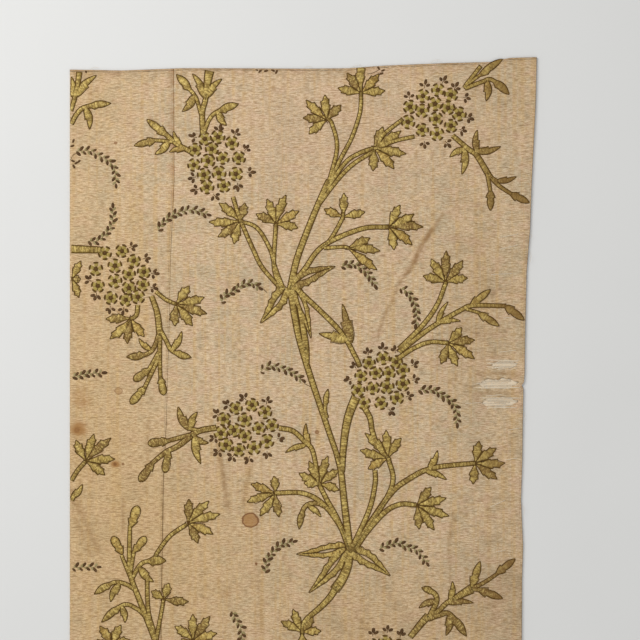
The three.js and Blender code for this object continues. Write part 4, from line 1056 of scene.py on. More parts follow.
def cloth_place(u, v, left, right, inset=0.0):
    """Cells of a cloth between two boundary columns: u runs left to right and v from the foot up.
    column = left + (right - left) u on the row that v reaches between the foot and the top edge."""
    u, v = u[None, :], v[:, None]
    middle = left(MIDDLE_ROW) + (right(MIDDLE_ROW) - left(MIDDLE_ROW)) * u
    top = line_at(TOP_EDGE, middle, 0) + inset / CELL
    row = BOTTOM_ROW + (top - BOTTOM_ROW) * v
    return np.stack([left(row) + (right(row) - left(row)) * u, row], -1)


def grid_faces(columns, rows):
    """Quads of a grid of points, (rows + 1) lines of (columns + 1) points."""
    i = np.arange(rows)[:, None] * (columns + 1) + np.arange(columns)[None, :]
    return np.stack([i, i + 1, i + columns + 2, i + columns + 1], -1).reshape(-1, 4)


def shell(over, under, faces):
    """Closed cloth: the upper grid, the lower one turned over, and a wall along each edge that only
    one quad uses, at the outline and round every opening."""
    count = len(over)
    edges = np.stack([faces, np.roll(faces, -1, axis=1)], -1).reshape(-1, 2)
    low, high = edges.min(axis=1), edges.max(axis=1)
    unused, first, uses = np.unique(low * count + high, return_index=True, return_counts=True)
    a, b = edges[first[uses == 1]].T
    walls = np.stack([b, a, a + count, b + count], -1)
    return np.vstack([over, under]), np.vstack([faces, faces[:, ::-1] + count, walls])


def stations(count, length, start=(), end=()):
    """Shares from 0 to 1 of a length: even ones between finer ones at distances from either end."""
    first = [0, *(d / length for d in start)]
    last = [*(1 - d / length for d in end), 1]
    return np.concatenate([first[:-1], np.linspace(first[-1], last[0], count + 1), last[1:]])


def cloth_marks(x, y):
    """What the silk's material reads at each point: sums of soft round patches from the tables, the brown of
    the creases and turned edges, the aged seam, and painted shade in the crepe's hollows, which goes into the
    dark mark."""
    column, row = x / CELL + MIDDLE_COLUMN, MIDDLE_ROW - y / CELL

    def patch(middle, height, wide, tall):
        return np.exp(-((column - middle) / wide) ** 2 - ((row - height) / tall) ** 2)

    off = {
        "right": (line_at(RIGHT_EDGE, row, 1) - column) * CELL,
        "top": (row - line_at(TOP_EDGE, column, 0)) * CELL,
    }
    browns = [
        brown * np.exp(-(distance_to(path, x, y) / (CREASE_BROWN_REACH * width)) ** 2)
        for height, width, brown, path in CREASES
    ]
    for edge, inset, width, brown in EDGE_BROWNS:
        browns.append(brown * np.exp(-((off[edge] - inset) / width) ** 2))
    from_seam = (column - line_at(SEAM, row, 1)) * CELL
    aged = SEAM_AGE + SEAM_AGE_AT_TOP * np.exp(-(row / SEAM_AGE_ROWS) ** 4)
    stains = [strength * patch(*place) for *place, strength in STAINS]
    stains += [
        strength * (aged - start) * np.exp(-((from_seam + left) / width) ** power)
        for left, width, power, strength, start in SEAM_STAINS
    ]
    tint = sum(yellow * patch(*place) for *place, yellow, dark in TONES)
    line = SEAM_LINE / (1 + np.exp((SEAM_LINE_ROW - row) / SEAM_LINE_BLEND))
    dark = sum(dark * patch(*place) for *place, yellow, dark in TONES)
    dark = dark + line * np.exp(-(from_seam / SEAM_LINE_WIDTH) ** 2)
    # Painted shade: the dark mark is raised in the hollows of the crepe's wrinkles.
    hollow = np.clip(crepe(x, y) / panel().crepe_height, -1, 0)
    return {
        "yellow": np.clip(tint, 0, 1),
        "rose": np.clip(-tint, 0, 1),
        "dark": np.clip(dark, 0, 1) - HOLLOW_PAINTED_SHADE * hollow,
        "crease": np.max(browns, axis=0),
        "stain": np.max(stains, axis=0),
    }


def silk_surface(cells, left, right, turned_right, seam_on_left):
    """Upper face of a silk width and its underside, as grids: the cell grid lifted to the silk's top by
    the lie, the crepe wrinkles and the creases, rounded down at the turned edges and at the seam."""
    spots = at(cells)
    x, y = spots[..., 0], spots[..., 1]
    half_row = 0.5 * (BOTTOM_ROW - TOP_ROW) / (len(cells) - 1)
    for first, last, row, height in SPLITS if turned_right else ():
        line = split_line(cells, first, last, row)
        middle = (cells[line, :, 1] + cells[line + 1, :, 1]) / 2
        gap = cells[..., 1] - middle
        half = split_half_height(cells[..., 0], first, last, height, np.sign(gap))
        pushed = np.where(half > 0, np.maximum(half, SPLIT_LEAST) - half_row, 0)
        y = y - np.sign(gap) * pushed * CELL * np.exp(-(gap / SPLIT_PUSH_ROWS) ** 2)
    height = SILK_TOP + relief(x, y) + crepe(x, y)
    for rise, width, brown, path in CREASES:
        height += rise * np.exp(-(distance_to(path, x, y) / width) ** 2)
    from_top = (cells[..., 1] - line_at(TOP_EDGE, cells[..., 0], 0)) * CELL
    from_right = (right(cells[..., 1]) - cells[..., 0]) * CELL
    from_left = (cells[..., 0] - left(cells[..., 1])) * CELL
    turned = [(from_top, TURNED_DROP), (from_left if seam_on_left else from_right, SEAM_DROP)]
    if turned_right:
        turned.append((from_right, TURNED_DROP))
    for distance, drop in turned:
        near = np.clip(1 - distance / ROUNDED_WIDTH, 0, 1)
        height -= drop * (1 - np.sqrt(1 - near ** 2))
    hem = (from_top < HEM_WIDTH) | (turned_right & (from_right < HEM_WIDTH))
    under = SILK_BASE + relief(x, y) - HEM_DROP * hem
    return np.dstack([x, y, height]), np.dstack([x, y, under])


def split_line(cells, first, last, row):
    """Number of the grid line just under an opening: the one nearest its row at its middle column."""
    column = np.argmin(np.abs(cells[0, :, 0] - (first + last) / 2))
    return int(np.argmin(np.abs(cells[:, column, 1] - row)))


def split_half_height(column, first, last, height, side):
    """Half height of an opening in cells: a blunt spindle, (1 - |2s - 1|^4), roughened along its length
    and differently above and below."""
    share = np.clip((column - first) / (last - first), 0, 1)
    roughness, *grain = SPLIT_ROUGHNESS
    rough = 1 + roughness * lattice_noise(column * CELL, side * SPLIT_SIDES, *grain)
    return 0.5 * height * (1 - np.abs(2 * share - 1) ** 4) * rough


def split_faces(cells, faces, columns):
    """Leaves out the quads of the grid line that runs through each opening."""
    keep = np.ones(len(faces), bool)
    middle = cells.reshape(-1, 2)[faces].mean(axis=1)
    for first, last, row, height in SPLITS:
        inside = (middle[:, 0] > first) & (middle[:, 0] < last)
        keep &= ~(inside & (np.arange(len(faces)) // columns == split_line(cells, first, last, row)))
    return faces[keep]


def add_lining():
    """The lining: a closed sheet, flat on the floor, on a plain grid of cells."""
    u, v = np.linspace(0, 1, LINING_COLUMNS + 1), np.linspace(0, 1, LINING_ROWS + 1)
    cells = cloth_place(u, v, boundary(LEFT_EDGE), boundary(RIGHT_EDGE, -LINING_INSET), LINING_INSET)
    flat = at(cells).reshape(-1, 2)
    over = np.column_stack([flat, np.full(len(flat), LINING_TOP)])
    under = np.column_stack([flat, np.zeros(len(flat))])
    points, faces = shell(over, under, grid_faces(LINING_COLUMNS, LINING_ROWS))
    piece = mesh_object("lining_cloth", points, faces, [material_of("undyed_plain_weave")])
    place_piece(piece, ["lining"])


def add_silk(name, columns, left, right, turned_right, seam_on_left):
    """One loom width of silk as a closed sheet, with its marks for the material."""
    wide = (right(MIDDLE_ROW) - left(MIDDLE_ROW)) * CELL
    u = stations(columns, wide, EDGE_STEPS if seam_on_left else (), EDGE_STEPS)
    v = stations(SILK_ROWS, (BOTTOM_ROW - TOP_ROW) * CELL, (), EDGE_STEPS)
    cells = cloth_place(u, v, left, right)
    over, under = silk_surface(cells, left, right, turned_right, seam_on_left)
    faces = grid_faces(len(u) - 1, len(v) - 1)
    if turned_right:
        faces = split_faces(cells, faces, len(u) - 1)
    over, under = over.reshape(-1, 3), under.reshape(-1, 3)
    marks = {key: np.tile(value, 2) for key, value in cloth_marks(over[:, 0], over[:, 1]).items()}
    points, faces = shell(over, under, faces)
    piece = mesh_object(name + "_crepe", points, faces, [material_of("aged_crepe_silk")], marks=marks)
    place_piece(piece, [name])


def edge_pair(base, tip, width, right_profile, left_profile, bend=0.0):
    """Right and left edge lines of a motif drawn on the line from base to tip in cells. At share s of
    the length L the middle lies off it by bend sin(pi s) L, and the edge by the profile's share of the
    width; an edge point leans forward by its own share of L."""
    start = at(base)
    axis, length, _, aside = heading(start, at(tip))
    share = np.unique([row[0] for row in (*right_profile, *left_profile)])
    sides = []
    for profile, sign in ((right_profile, -1), (left_profile, 1)):
        places, widths, leans = np.transpose([(*row, 0)[:3] for row in profile])
        half = np.interp(share, places, widths) * width * CELL
        lean = np.interp(share, places, leans)
        middle = start + np.outer(share + lean, axis) + np.outer(bend * length * np.sin(np.pi * share), aside)
        sides.append(middle + np.outer(sign * half, aside))
    return sides


def outline(work, right, left, tint):
    """Couching cord right round a motif: up its right edge and back down its left one."""
    radius = panel().outline_width / 2
    work.cord(np.vstack([right, left[::-1]]), radius, OUTLINE, tint, lift=CORD_LIFT * radius, closed=True)


def add_leaf(work, base, tip, width, right_profile, left_profile, rng, bend=0.0):
    """One raised motif with its outline; each gets its own tint."""
    right, left = edge_pair(base, tip, width, right_profile, left_profile, bend)
    tint = rng.uniform(-1, 1)
    work.raised(right, left, panel().thread_height, GOLD, tint)
    outline(work, right, left, tint)


def ties(work, path, length, half, rise, tint, rng):
    """Tying stitches over a stem, each a thin cord that follows its arch from edge to edge."""
    pitch = panel().tie_pitch
    side = sideways(path)
    for distance in np.arange(pitch * rng.uniform(0.3, 0.8), length[-1] - TIE_END, pitch):
        across = TIE_PLACES * np.interp(distance, length, half)
        line = read_at(distance, length, path) + np.outer(across, read_at(distance, length, side))
        rings = line[:, None, :] + TIE_RADIUS * np.cos(ROUND)[None, :, None] * sideways(line)[:, None, :]
        height = SILK_TOP + relief(line[:, 0], line[:, 1]) + rise * (1 - np.abs(TIE_PLACES) ** 4)
        height = height[:, None] + TIE_RADIUS * np.sin(ROUND)
        work.loft(np.dstack([on_cloth(rings), height]), TIE, across, TIE_RADIUS * np.cos(ROUND), tint)


def add_stem(work, cells, first, last, rng):
    """A laid stem, its width going from first to last cells: its raised body, a cord along each edge
    and the tying stitches over it."""
    path, length = curve_through(cells, STEM_STEP)
    half = (first + (last - first) * length / length[-1]) * CELL / 2
    off = sideways(path) * half[:, None]
    right, left = path - off, path + off
    rise = panel().thread_height * STEM_RISE
    tint = rng.uniform(-0.6, 0.6)
    radius = panel().outline_width / 2
    work.raised(right, left, rise, GOLD, tint)
    for edge in (right, left):
        work.cord(edge, radius, OUTLINE, tint, lift=CORD_LIFT * radius)
    ties(work, path, length, half, rise, tint, rng)


def add_blade(work, stem, leaf, cells, rng):
    """A stem that swells into a leaf over the last leg of its path, notched on the inside of its bend.
    The stem's own width runs out over the first three quarters of the leaf."""
    path, length = curve_through(cells, BLADE_STEP)
    legs = np.linalg.norm(np.diff(at(cells), axis=0), axis=1)
    start = length[-1] * (1 - legs[-1] / legs.sum())
    share = np.clip((length - start) / (length[-1] - start), 0, 1)
    side = sideways(path)
    first, last = at(cells[-2]) - at(cells[-3]), at(cells[-1]) - at(cells[-2])
    turn = 1 if first[0] * last[1] - first[1] * last[0] > 0 else -1
    half_stem = stem * CELL / 2 * np.clip((1 - share) / 0.75, 0, 1)
    edges = []
    for sign in (-1, 1):
        places, widths = np.transpose(BLADE_INNER if sign == turn else BLADE_OUTER)
        half = np.maximum(half_stem, np.interp(share, places, widths) * leaf * CELL / 2 * (share > 0))
        edges.append(path + side * (sign * half)[:, None])
    rise = panel().thread_height
    tint = rng.uniform(-0.8, 0.8)
    work.raised(*edges, rise, GOLD, tint)
    outline(work, *edges, tint)
    stalk = max(int((share == 0).sum()), 4)
    ties(work, path[:stalk], length[:stalk], np.full(stalk, stem * CELL / 2), rise, tint, rng)


def add_broad_leaf(work, base, tip, width, rng):
    """A wavy leaf in two halves with a bare slit between them: the half gap is slit sin(pi q) / 2, q
    being the share of the slit's own length."""
    right, left = edge_pair(base, tip, width, BROAD, BROAD, BROAD_BEND)
    middle = (right + left) / 2
    run = run_along(middle)
    inside = np.clip((run / run[-1] - SLIT_FROM) / SLIT_LENGTH, 0, 1)
    gap = sideways(middle) * (0.5 * panel().slit_width * np.sin(np.pi * inside))[:, None]
    inner_right, inner_left = middle - gap, middle + gap
    rise = panel().thread_height
    tint = rng.uniform(-0.9, 0.9)
    work.raised(right, inner_right, rise, GOLD, tint)
    work.raised(inner_left, left, rise, GOLD, tint)
    outline(work, right, left, tint)
    for inner in (inner_right, inner_left):
        work.cord(inner[1:-2], 0.4 * panel().outline_width, OUTLINE, tint, lift=0.4 * rise)


def add_palm_lines(work, centre, tips, rng):
    """The stalk's two edge cords, run on over the middle of a palm towards its lobes."""
    middle = at(centre)
    ahead, aside = heading(0, (at(tips) - middle).sum(axis=0))[2:]
    for side in (-1, 1):
        *near, (reach, off) = PALM_LINES
        places = (*near, (reach + rng.uniform(0, PALM_LINE_SPREAD), off))
        path = np.array([middle + CELL * (run * ahead + side * off * aside) for run, off in places])
        work.cord(path, PALM_LINE_RADIUS, OUTLINE, rng.uniform(-1, 1), lift=0.75 * panel().thread_height)


def add_spray(work, spray, seed):
    """All the gold work of one spray: leaves first, stems over them, as they are sewn."""
    rng = np.random.default_rng(seed)
    work.tarnish = TARNISH.get(spray, 0)
    palms = PALMS.get(spray, ())
    for width, centre, tips in palms:
        for tip in tips:
            right, left = (LOBE, LATE_LOBE) if rng.uniform() < 0.5 else (LATE_LOBE, LOBE)
            add_leaf(work, centre, tip, width * LOBE_WIDTH, right, left, rng, rng.uniform(-0.04, 0.04))
    for width, base, tip, notch in LEAVES.get(spray, ()):
        right, left, bend = LEAF_KINDS[notch]
        add_leaf(work, base, tip, width, right, left, rng, bend)
    bud = CLUB if spray in CLUB_BUDS else BUD
    for width, base, tip in BUDS.get(spray, ()):
        add_leaf(work, base, tip, width, bud, bud, rng)
    for width, base, tip in BROAD_LEAVES.get(spray, ()):
        add_broad_leaf(work, base, tip, width, rng)
    for stem, leaf, cells in BLADES.get(spray, ()):
        add_blade(work, stem, leaf, cells, rng)
    for first, last, cells in STEMS.get(spray, ()):
        add_stem(work, cells, first, last, rng)
    for width, centre, tips in palms:
        add_palm_lines(work, centre, tips, rng)


def dab(work, start, end, width, rise, slot, tint, lift=0.0):
    """A satin-stitch oval: half width sqrt(1 - (2s - 1)^2) of the width along the line from start to end."""
    axis, length, _, aside = heading(start, end)
    swell = np.sqrt(1 - (2 * DAB_PLACES - 1) ** 2)
    middle = start + np.outer(DAB_PLACES, axis)
    half = np.outer(width / 2 * swell, aside)
    part = (1 + DAB_ARCH[None, :, None]) / 2
    flat = on_cloth((middle - half)[:, None, :] * (1 - part) + (middle + half)[:, None, :] * part)
    height = SILK_TOP - DAB_SINK + relief(flat[..., 0], flat[..., 1]) + lift
    height = height + (DAB_SINK + rise) * swell[:, None] * (1 - np.abs(DAB_ARCH) ** 3)
    rings = np.dstack([flat, height])
    work.loft(rings, slot, DAB_PLACES * length, DAB_ARCH * width / 2, tint, edge=np.abs(DAB_ARCH))


def around(centre, angle, ahead, aside=0.0):
    """Point at cells ahead of a centre in the direction of an angle, and aside to its left."""
    c, s = math.cos(angle), math.sin(angle)
    return centre + CELL * np.array([c * ahead - s * aside, s * ahead + c * aside])


def dab_across(work, centre, angle, reach, width, rise, slot, tint, lift=0.0):
    """A dab through a centre, reaching as many cells to either side of it; its width is in cells too."""
    first, last = around(centre, angle, -reach), around(centre, angle, reach)
    dab(work, first, last, width * CELL, rise, slot, tint, lift)


def add_floret(work, cell, turn, rng):
    """A floret: five olive petals over a dark ground, with dark ends, round a dark, knotted middle."""
    centre = at(cell)
    size = rng.uniform(0.96, 1.08)
    dab_across(work, centre, turn, GROUND_REACH * size, GROUND_WIDTH * size, GROUND_RISE, END, 0.5)
    for k in range(PETALS):
        angle = turn + k * math.tau / PETALS + rng.uniform(-0.12, 0.12)
        tint = rng.uniform(-1, 1)
        root, tip = (around(centre, angle, reach * size) for reach in (PETAL_FROM, PETAL_TO))
        dab(work, root, tip, PETAL_WIDTH * CELL, FLOSS_RISE, PETAL, tint)
        ahead, aside = PETAL_END_AT * size, PETAL_END_REACH * size
        first, last = (around(centre, angle + 0.08, ahead, side * aside) for side in (-1, 1))
        dab(work, first, last, PETAL_END_WIDTH * CELL, DARK_RISE, END, tint)
    for k in range(3):
        angle, reach = turn + 0.4 + k * math.pi / 3, MIDDLE_REACH * size
        dab_across(work, centre, angle, reach, MIDDLE_WIDTH, DARK_RISE, END, 1.0 - k, 0.0001 * k)
    dab_across(work, centre, turn, KNOT_REACH * size, KNOT_WIDTH, DARK_RISE, SPRIG, 0.0, 0.0004)


def add_sprig(work, cell, angle, rng):
    """Three small brown leaves on a short stalk: one ahead and one to each side."""
    base = around(at(cell), angle, SPRIG_BACK)
    for turn, start, end, width in SPRIG_LEAVES:
        bent = angle + turn + rng.uniform(-0.2, 0.2)
        root, tip = around(base, bent, start), around(base, bent, end * rng.uniform(0.85, 1.05))
        dab(work, root, tip, width * CELL, FLOSS_RISE, SPRIG, rng.uniform(-1, 1))
    stalk = np.array([around(base, angle, ahead) for ahead in SPRIG_STALK])
    work.cord(stalk, SPRIG_RADIUS, SPRIG, 0.0)


def add_head(work, florets, rim, seed):
    """One flower head: its florets, and rim sprigs that each point away from the nearest floret."""
    rng = np.random.default_rng(seed)
    middles = at(florets)
    for cell in florets:
        add_floret(work, cell, rng.uniform(0, math.tau), rng)
    for cell in rim:
        away = at(cell) - middles[np.argmin(np.linalg.norm(middles - at(cell), axis=1))]
        add_sprig(work, cell, math.atan2(away[1], away[0]), rng)


def add_seed_sprig(work, cells, rng):
    """A thin stalk with dark seeds on alternate sides and small sage leaves between them."""
    path, length = curve_through(cells, STALK_STEP)
    work.cord(path, SEED_STALK_RADIUS, SAGE, 0.6)
    side = sideways(path)
    count = 2 * round(length[-1] / (SEED_PITCH * CELL))
    for k in range(count + 1):
        distance = length[-1] * k / count
        root, out = read_at(distance, length, path), read_at(distance, length, side)
        ahead = np.array([out[1], -out[0]])
        last = k == count
        hand = 0 if last else (1 if k % 4 in (1, 2) else -1)
        lean = out * hand * rng.uniform(0.6, 1.0) + ahead * (1 if last else rng.uniform(0.6, 1.0))
        lean /= np.linalg.norm(lean)
        seed = k % 2 == 0
        size = rng.uniform(0.85, 1.1) * (1 if seed else 0.75)
        root, tip = root + lean * SEED_FROM * CELL, root + lean * SEED_LENGTH * size * CELL
        slot = SPRIG if seed else SAGE
        dab(work, root, tip, SEED_WIDTH * size * CELL, FLOSS_RISE * size, slot, rng.uniform(-1, 1))


def add_cut_work(work):
    """The dark tips and stalks at the cut edges, and the stalks that run on to gold stems."""
    for column, row, degrees in CUT_TIPS:
        place, angle = at((column, row)), math.radians(degrees)
        dab_across(work, place, angle, CUT_TIP_REACH, CUT_TIP_WIDTH, CUT_TIP_RISE, SPRIG, 0.0)
    for cells in CUT_STALKS:
        work.cord(curve_through(cells, STALK_STEP)[0], CUT_STALK_RADIUS, SPRIG, 0.5)


def add_loose_silk(work):
    """Bared weft threads, the pale patch and the worn threads over each opening, and loose ends."""
    for cells in BARE_WEFT:
        path, length = curve_through(cells, WEFT_STEP)
        work.cord(path, WEFT_RADIUS, 0, 0.0, lift=WEFT_LIFT * np.sin(np.pi * length / length[-1]))
    rng = np.random.default_rng(900)
    for first, last, row, height in SPLITS:
        start, end = at((first - 3, row)), at((last + 1, row))
        dab(work, start, end, PATCH_HEIGHT * height * CELL, PATCH_RISE, 0, 0.8, lift=PATCH_LIFT)
        for k in range(THREADS_A_SPLIT):
            rise = height * rng.uniform(-0.62, 0.62)
            start = first + rng.uniform(-6, 0.35 * (last - first))
            end = last - rng.uniform(-2, 0.35 * (last - first))
            sag = row + rise * 0.9 + rng.uniform(-0.5, 0.5)
            cells = [(start, row + rise), ((start + end) / 2, sag), (end, row + rise)]
            path, length = curve_through(cells, WEFT_STEP)
            work.cord(path, rng.uniform(0.00030, 0.00055), 0, rng.uniform(-1, 1))
    for cells in LOOSE_ENDS:
        work.cord(curve_through(cells, END_STEP)[0], LOOSE_END_RADIUS, 0, 0.0, loose=True)


def pointed(name, data, place, target):
    """An object at a place, turned to look at a target."""
    made = bpy.data.objects.new(name, data)
    made.location = place
    made.rotation_euler = (Vector(target) - Vector(place)).to_track_quat("-Z", "Y").to_euler()
    bpy.context.scene.collection.objects.link(made)
    return made


def area_light(name, size, power, place, target):
    """A square area light."""
    light = bpy.data.lights.new(name, "AREA")
    light.size = size
    light.energy = power
    return pointed(name, light, place, target)


def add_stage():
    """The floor, two soft lights, the room's even light and the camera straight above."""
    settings = bpy.context.scene.silk_panel_stage
    corners = FLOOR_HALF * np.array([(-1, -1, 0), (1, -1, 0), (1, 1, 0), (-1, 1, 0)]) - (0, 0, FLOOR_DROP)
    material, tree, shader = new_material("backdrop_paper", 0.9)
    place = node(tree, "TexCoord", out="Object")
    cloud = patterns(tree, place, {"cloud": ((0.3, 0.3, 1), 2)})["cloud"]
    light = colours().floor
    tone = layered(tree, light, [(cloud, 0.4, 0.9, 0.12, tuple(0.8 * c for c in light))])
    tree.links.new(tone, shader.inputs["Base Color"])
    floor = mesh_object("floor", corners, np.array([[0, 1, 2, 3]]), [material])
    lights = [
        area_light("key_light", 1.6, settings.key_power, (-1.5, 1.1, 1.9), (0, 0, 0)),
        area_light("fill_light", 2.5, settings.fill_power, (0.6, -0.9, 2.4), (0, 0, 0)),
    ]
    camera = bpy.data.cameras.new("camera")
    camera.lens = settings.lens
    camera.sensor_width = 36
    camera.clip_end = 60
    made = pointed("camera", camera, (*VIEW_MIDDLE[:2], settings.camera_height), VIEW_MIDDLE)
    made.rotation_euler = (0, 0, 0)
    bpy.context.scene.camera = made
    world = bpy.data.worlds.new("room")
    world.use_nodes = True
    ground = world.node_tree.nodes["Background"]
    ground.inputs["Color"].default_value = (1, 1, 1, 1)
    ground.inputs["Strength"].default_value = settings.world_strength
    bpy.context.scene.world = world
    bpy.context.scene.view_settings.view_transform = "Standard"


def colour(name, description, code):
    """A colour setting with its default from sRGB hex."""
    return bpy.props.FloatVectorProperty(
        name=name, description=description, default=linear(code), subtype="COLOR", size=3, min=0, max=1
    )


def number(name, description, default, **limits):
    """A setting that is a number."""
    return bpy.props.FloatProperty(name=name, description=description, default=default, **limits)


def length(name, description, default, low, high):
    """A setting that is a small length in metres."""
    return number(name, description, default, min=low, max=high, precision=5, unit="LENGTH")


class SilkPanelSizes(bpy.types.PropertyGroup):
    """Sizes of the cloths' grain and of the thread work."""

    crepe_height: length("Crepe height", "Height of the wrinkles of the crepe weave", 0.00014, 0, 0.0004)
    thread_height: length("Thread height", "How far the laid thread stands up", 0.0008, 0.0004, 0.0012)
    outline_width: length("Outline width", "Width of the cord round each motif", 0.0012, 0.0006, 0.002)
    tie_pitch: length("Tie pitch", "Distance between the tying stitches over a stem", 0.0050, 0.002, 0.01)
    slit_width: length("Slit width", "Width of the bare slit down a broad leaf", 0.0042, 0.001, 0.006)


class SilkPanelColours(bpy.types.PropertyGroup):
    """Colours of the aged silk and thread."""

    silk_light: colour("Silk", "Warm white of the clean silk", "#D8C09E")
    silk_grey: colour("Silk, greyed", "Silk that has greyed", "#BFB093")
    silk_yellow: colour("Silk, yellowed", "Silk yellowed by light", "#CFAE79")
    silk_rose: colour("Silk, rosy", "Silk that kept a rosy tone", "#D3B598")
    # Also the colour of the painted shade in the hollows of the crepe.
    silk_dark_and_shade: colour("Silk, darkened", "Silk darkened by handling", "#987B54")
    # Painted shade in the crepe's hollows and in the grooves between wefts, multiplied over the silk's
    # colour.
    weft_shade: colour("Weft shade", "Hollows of the crepe, times the silk", "#C2B4A0")
    weft_groove_shade: colour("Weft line", "Thin dark lines between wefts, times the silk", "#9C8B74")
    crease_brown: colour("Crease", "Brown along creases and turned edges", "#8A663C")
    stain_tan: colour("Stain", "Inside of a stain", "#93652F")
    stain_rim: colour("Stain rim", "Dried rim of a stain", "#6A401E")
    lining_light: colour("Lining, light", "Threads of the lining", "#EEDFC8")
    lining_shade: colour("Lining, shade", "Gaps between the lining's threads", "#CFC0A8")
    gold: colour("Gold", "Dulled gilt thread", "#A58A44")
    # Painted highlight on the laid thread, also a lighter mottle.
    gold_highlight_and_mottle: colour("Gold, glint", "Where the gilding is still bright", "#DAC276")
    # Painted shade in the dips between the laid threads and at their edges, also a darker mottle.
    gold_shade_and_mottle: colour("Gold, dip", "Dips between the laid threads", "#624918")
    gold_amber: colour("Gold, amber", "Thread whose gilding has gone orange", "#A87A32")
    gold_brown: colour("Gold, worn", "Thread worn down to its silk core", "#765627")
    outline: colour("Outline", "Brown silk cord round the motifs", "#5C4116")
    # Painted shade between the cord's strands, also its mottle.
    outline_shade: colour("Outline, dark", "Turns between the cord's strands", "#3E2A0C")
    tie: colour("Tying stitch", "Stitches that hold the laid thread", "#6A5520")
    petal_light: colour("Petal", "Olive floss of the petals", "#95813F")
    petal_shade: colour("Petal, shade", "Gaps between the petal's strands", "#6A5824")
    petal_rim: colour("Petal rim", "Gold thread round each petal", "#BFA966")
    petal_end: colour("Petal end", "Dark floss round each petal", "#644A1C")
    # Painted shade between the dark floss's strands and at its rim, also its mottle.
    petal_end_shade: colour("Petal end, dark", "Gaps in the dark floss", "#402A0E")
    sprig: colour("Sprig", "Brown floss of sprigs and seeds", "#614629")
    # Painted shade between the brown floss's strands and at its rim, also its mottle.
    sprig_shade: colour("Sprig, dark", "Gaps in the brown floss", "#3C2814")
    sage: colour("Sage", "Pale olive floss between the seeds", "#978A62")
    bare_weft: colour("Bare weft", "Worn, pale weft threads", "#CDC2AE")
    floor: colour("Floor", "Pale backdrop paper", "#D0D0CE")


class SilkPanelStage(bpy.types.PropertyGroup):
    """The studio round the panel."""

    camera_height: number(
        "Camera height", "Height of the camera over the floor", 2.193, min=0.5, max=10, unit="LENGTH"
    )
    lens: number("Lens", "Focal length on a sensor 36 mm wide, in millimetres", 85, min=20, max=300)
    key_power: number("Key light", "Power of the large light at the upper left", 46, min=0, unit="POWER")
    fill_power: number("Fill light", "Power of the soft light over the panel", 14, min=0, unit="POWER")
    world_strength: number("Room light", "Strength of the even light of the room", 0.55, min=0)


class Step:
    """Part of every operator: it runs the operator's own build function."""

    def execute(self, context):
        self.build()
        return {"FINISHED"}


class SILKPANEL_OT_lining(Step, bpy.types.Operator):
    """Adds the plain-weave lining"""

    bl_idname = "silk_panel.lining"
    bl_label = "Add lining"

    def build(self):
        add_lining()


class SILKPANEL_OT_silks(Step, bpy.types.Operator):
    """Adds the two widths of crepe silk, either side of the seam"""

    bl_idname = "silk_panel.silks"
    bl_label = "Add silk widths"

    def build(self):
        right_of_seam, left_of_seam = boundary(SEAM, SEAM_GAP / 2), boundary(SEAM, -SEAM_GAP / 2)
        add_silk(
            "silk_right", SILK_RIGHT_COLUMNS, right_of_seam, boundary(RIGHT_EDGE),
            turned_right=True, seam_on_left=True,
        )
        add_silk(
            "silk_left", SILK_LEFT_COLUMNS, boundary(LEFT_EDGE), left_of_seam,
            turned_right=False, seam_on_left=False,
        )


class SILKPANEL_OT_gold(Step, bpy.types.Operator):
    """Adds the branches, leaves and buds in laid gold thread"""

    bl_idname = "silk_panel.gold"
    bl_label = "Add gold work"

    def build(self):
        for number, (name, sprays) in enumerate(GOLD_GROUPS.items()):
            work = Work()
            for step, spray in enumerate(sprays):
                add_spray(work, spray, 100 * number + step)
            place_work(work, name, GOLD_MATERIALS, ["spray_" + spray for spray in sprays])


class SILKPANEL_OT_heads(Step, bpy.types.Operator):
    """Adds the round flower heads of small florets"""

    bl_idname = "silk_panel.heads"
    bl_label = "Add flower heads"

    def build(self):
        for number, (florets, rim) in enumerate(HEADS):
            work = Work()
            add_head(work, florets, rim, 500 + number)
            name = "head_%d" % (number + 1)
            place_work(work, "flower_" + name, FLOSS_MATERIALS, [name])


class SILKPANEL_OT_seeds(Step, bpy.types.Operator):
    """Adds the sprigs of dark seeds, and the dark tips and stalks at the cut edges"""

    bl_idname = "silk_panel.seeds"
    bl_label = "Add seed sprigs"

    def build(self):
        rng = np.random.default_rng(700)
        work = Work()
        for cells in SEED_SPRIGS:
            add_seed_sprig(work, cells, rng)
        add_cut_work(work)
        nodes = ["seeds_%d" % (number + 1) for number in range(len(SEED_SPRIGS))]
        place_work(work, "seed_sprigs", FLOSS_MATERIALS, nodes)


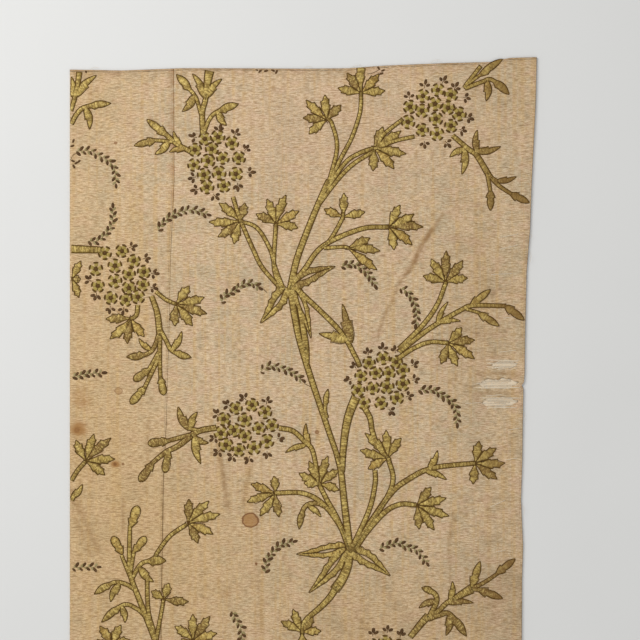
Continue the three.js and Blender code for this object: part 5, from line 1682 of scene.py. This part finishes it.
class SILKPANEL_OT_loose(Step, bpy.types.Operator):
    """Adds the bared weft threads by the splits and the loose ends at the turned edges"""

    bl_idname = "silk_panel.loose"
    bl_label = "Add loose threads"

    def build(self):
        work = Work()
        add_loose_silk(work)
        place_work(work, "loose_silk_threads", ["pale_silk_end"], [])


class SILKPANEL_OT_stage(Step, bpy.types.Operator):
    """Adds the pale floor, the soft studio lights and the camera straight above"""

    bl_idname = "silk_panel.stage"
    bl_label = "Add stage"

    def build(self):
        add_stage()


class VIEW3D_PT_silk_panel(bpy.types.Panel):
    """The panel's sizes, colours and pieces"""

    bl_label = "Silk panel"
    bl_space_type = "VIEW_3D"
    bl_region_type = "UI"
    bl_category = "Panel"

    def draw(self, context):
        scene = context.scene
        for group in (scene.silk_panel_sizes, scene.silk_panel_stage, scene.silk_panel_colours):
            box = self.layout.box()
            for name in group.bl_rna.properties.keys():
                if name not in ("rna_type", "name"):
                    box.prop(group, name)
        for step in STEPS:
            self.layout.operator(step)


CLASSES = (
    SilkPanelSizes, SilkPanelColours, SilkPanelStage,
    SILKPANEL_OT_lining, SILKPANEL_OT_silks, SILKPANEL_OT_gold, SILKPANEL_OT_heads, SILKPANEL_OT_seeds,
    SILKPANEL_OT_loose, SILKPANEL_OT_stage, VIEW3D_PT_silk_panel,
)
STEPS = tuple(cls.bl_idname for cls in CLASSES if issubclass(cls, bpy.types.Operator))


def register():
    """Registers the classes and gives the scene its settings."""
    for cls in CLASSES:
        bpy.utils.register_class(cls)
    bpy.types.Scene.silk_panel_sizes = bpy.props.PointerProperty(type=SilkPanelSizes)
    bpy.types.Scene.silk_panel_colours = bpy.props.PointerProperty(type=SilkPanelColours)
    bpy.types.Scene.silk_panel_stage = bpy.props.PointerProperty(type=SilkPanelStage)


def unregister():
    """Takes the settings and the classes away again."""
    del bpy.types.Scene.silk_panel_stage
    del bpy.types.Scene.silk_panel_colours
    del bpy.types.Scene.silk_panel_sizes
    for cls in reversed(CLASSES):
        bpy.utils.unregister_class(cls)


def main():
    """Builds every piece and the stage."""
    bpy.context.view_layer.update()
    register()
    for step in STEPS:
        group, name = step.split(".")
        getattr(getattr(bpy.ops, group), name)()


if __name__ == "__main__":
    main()
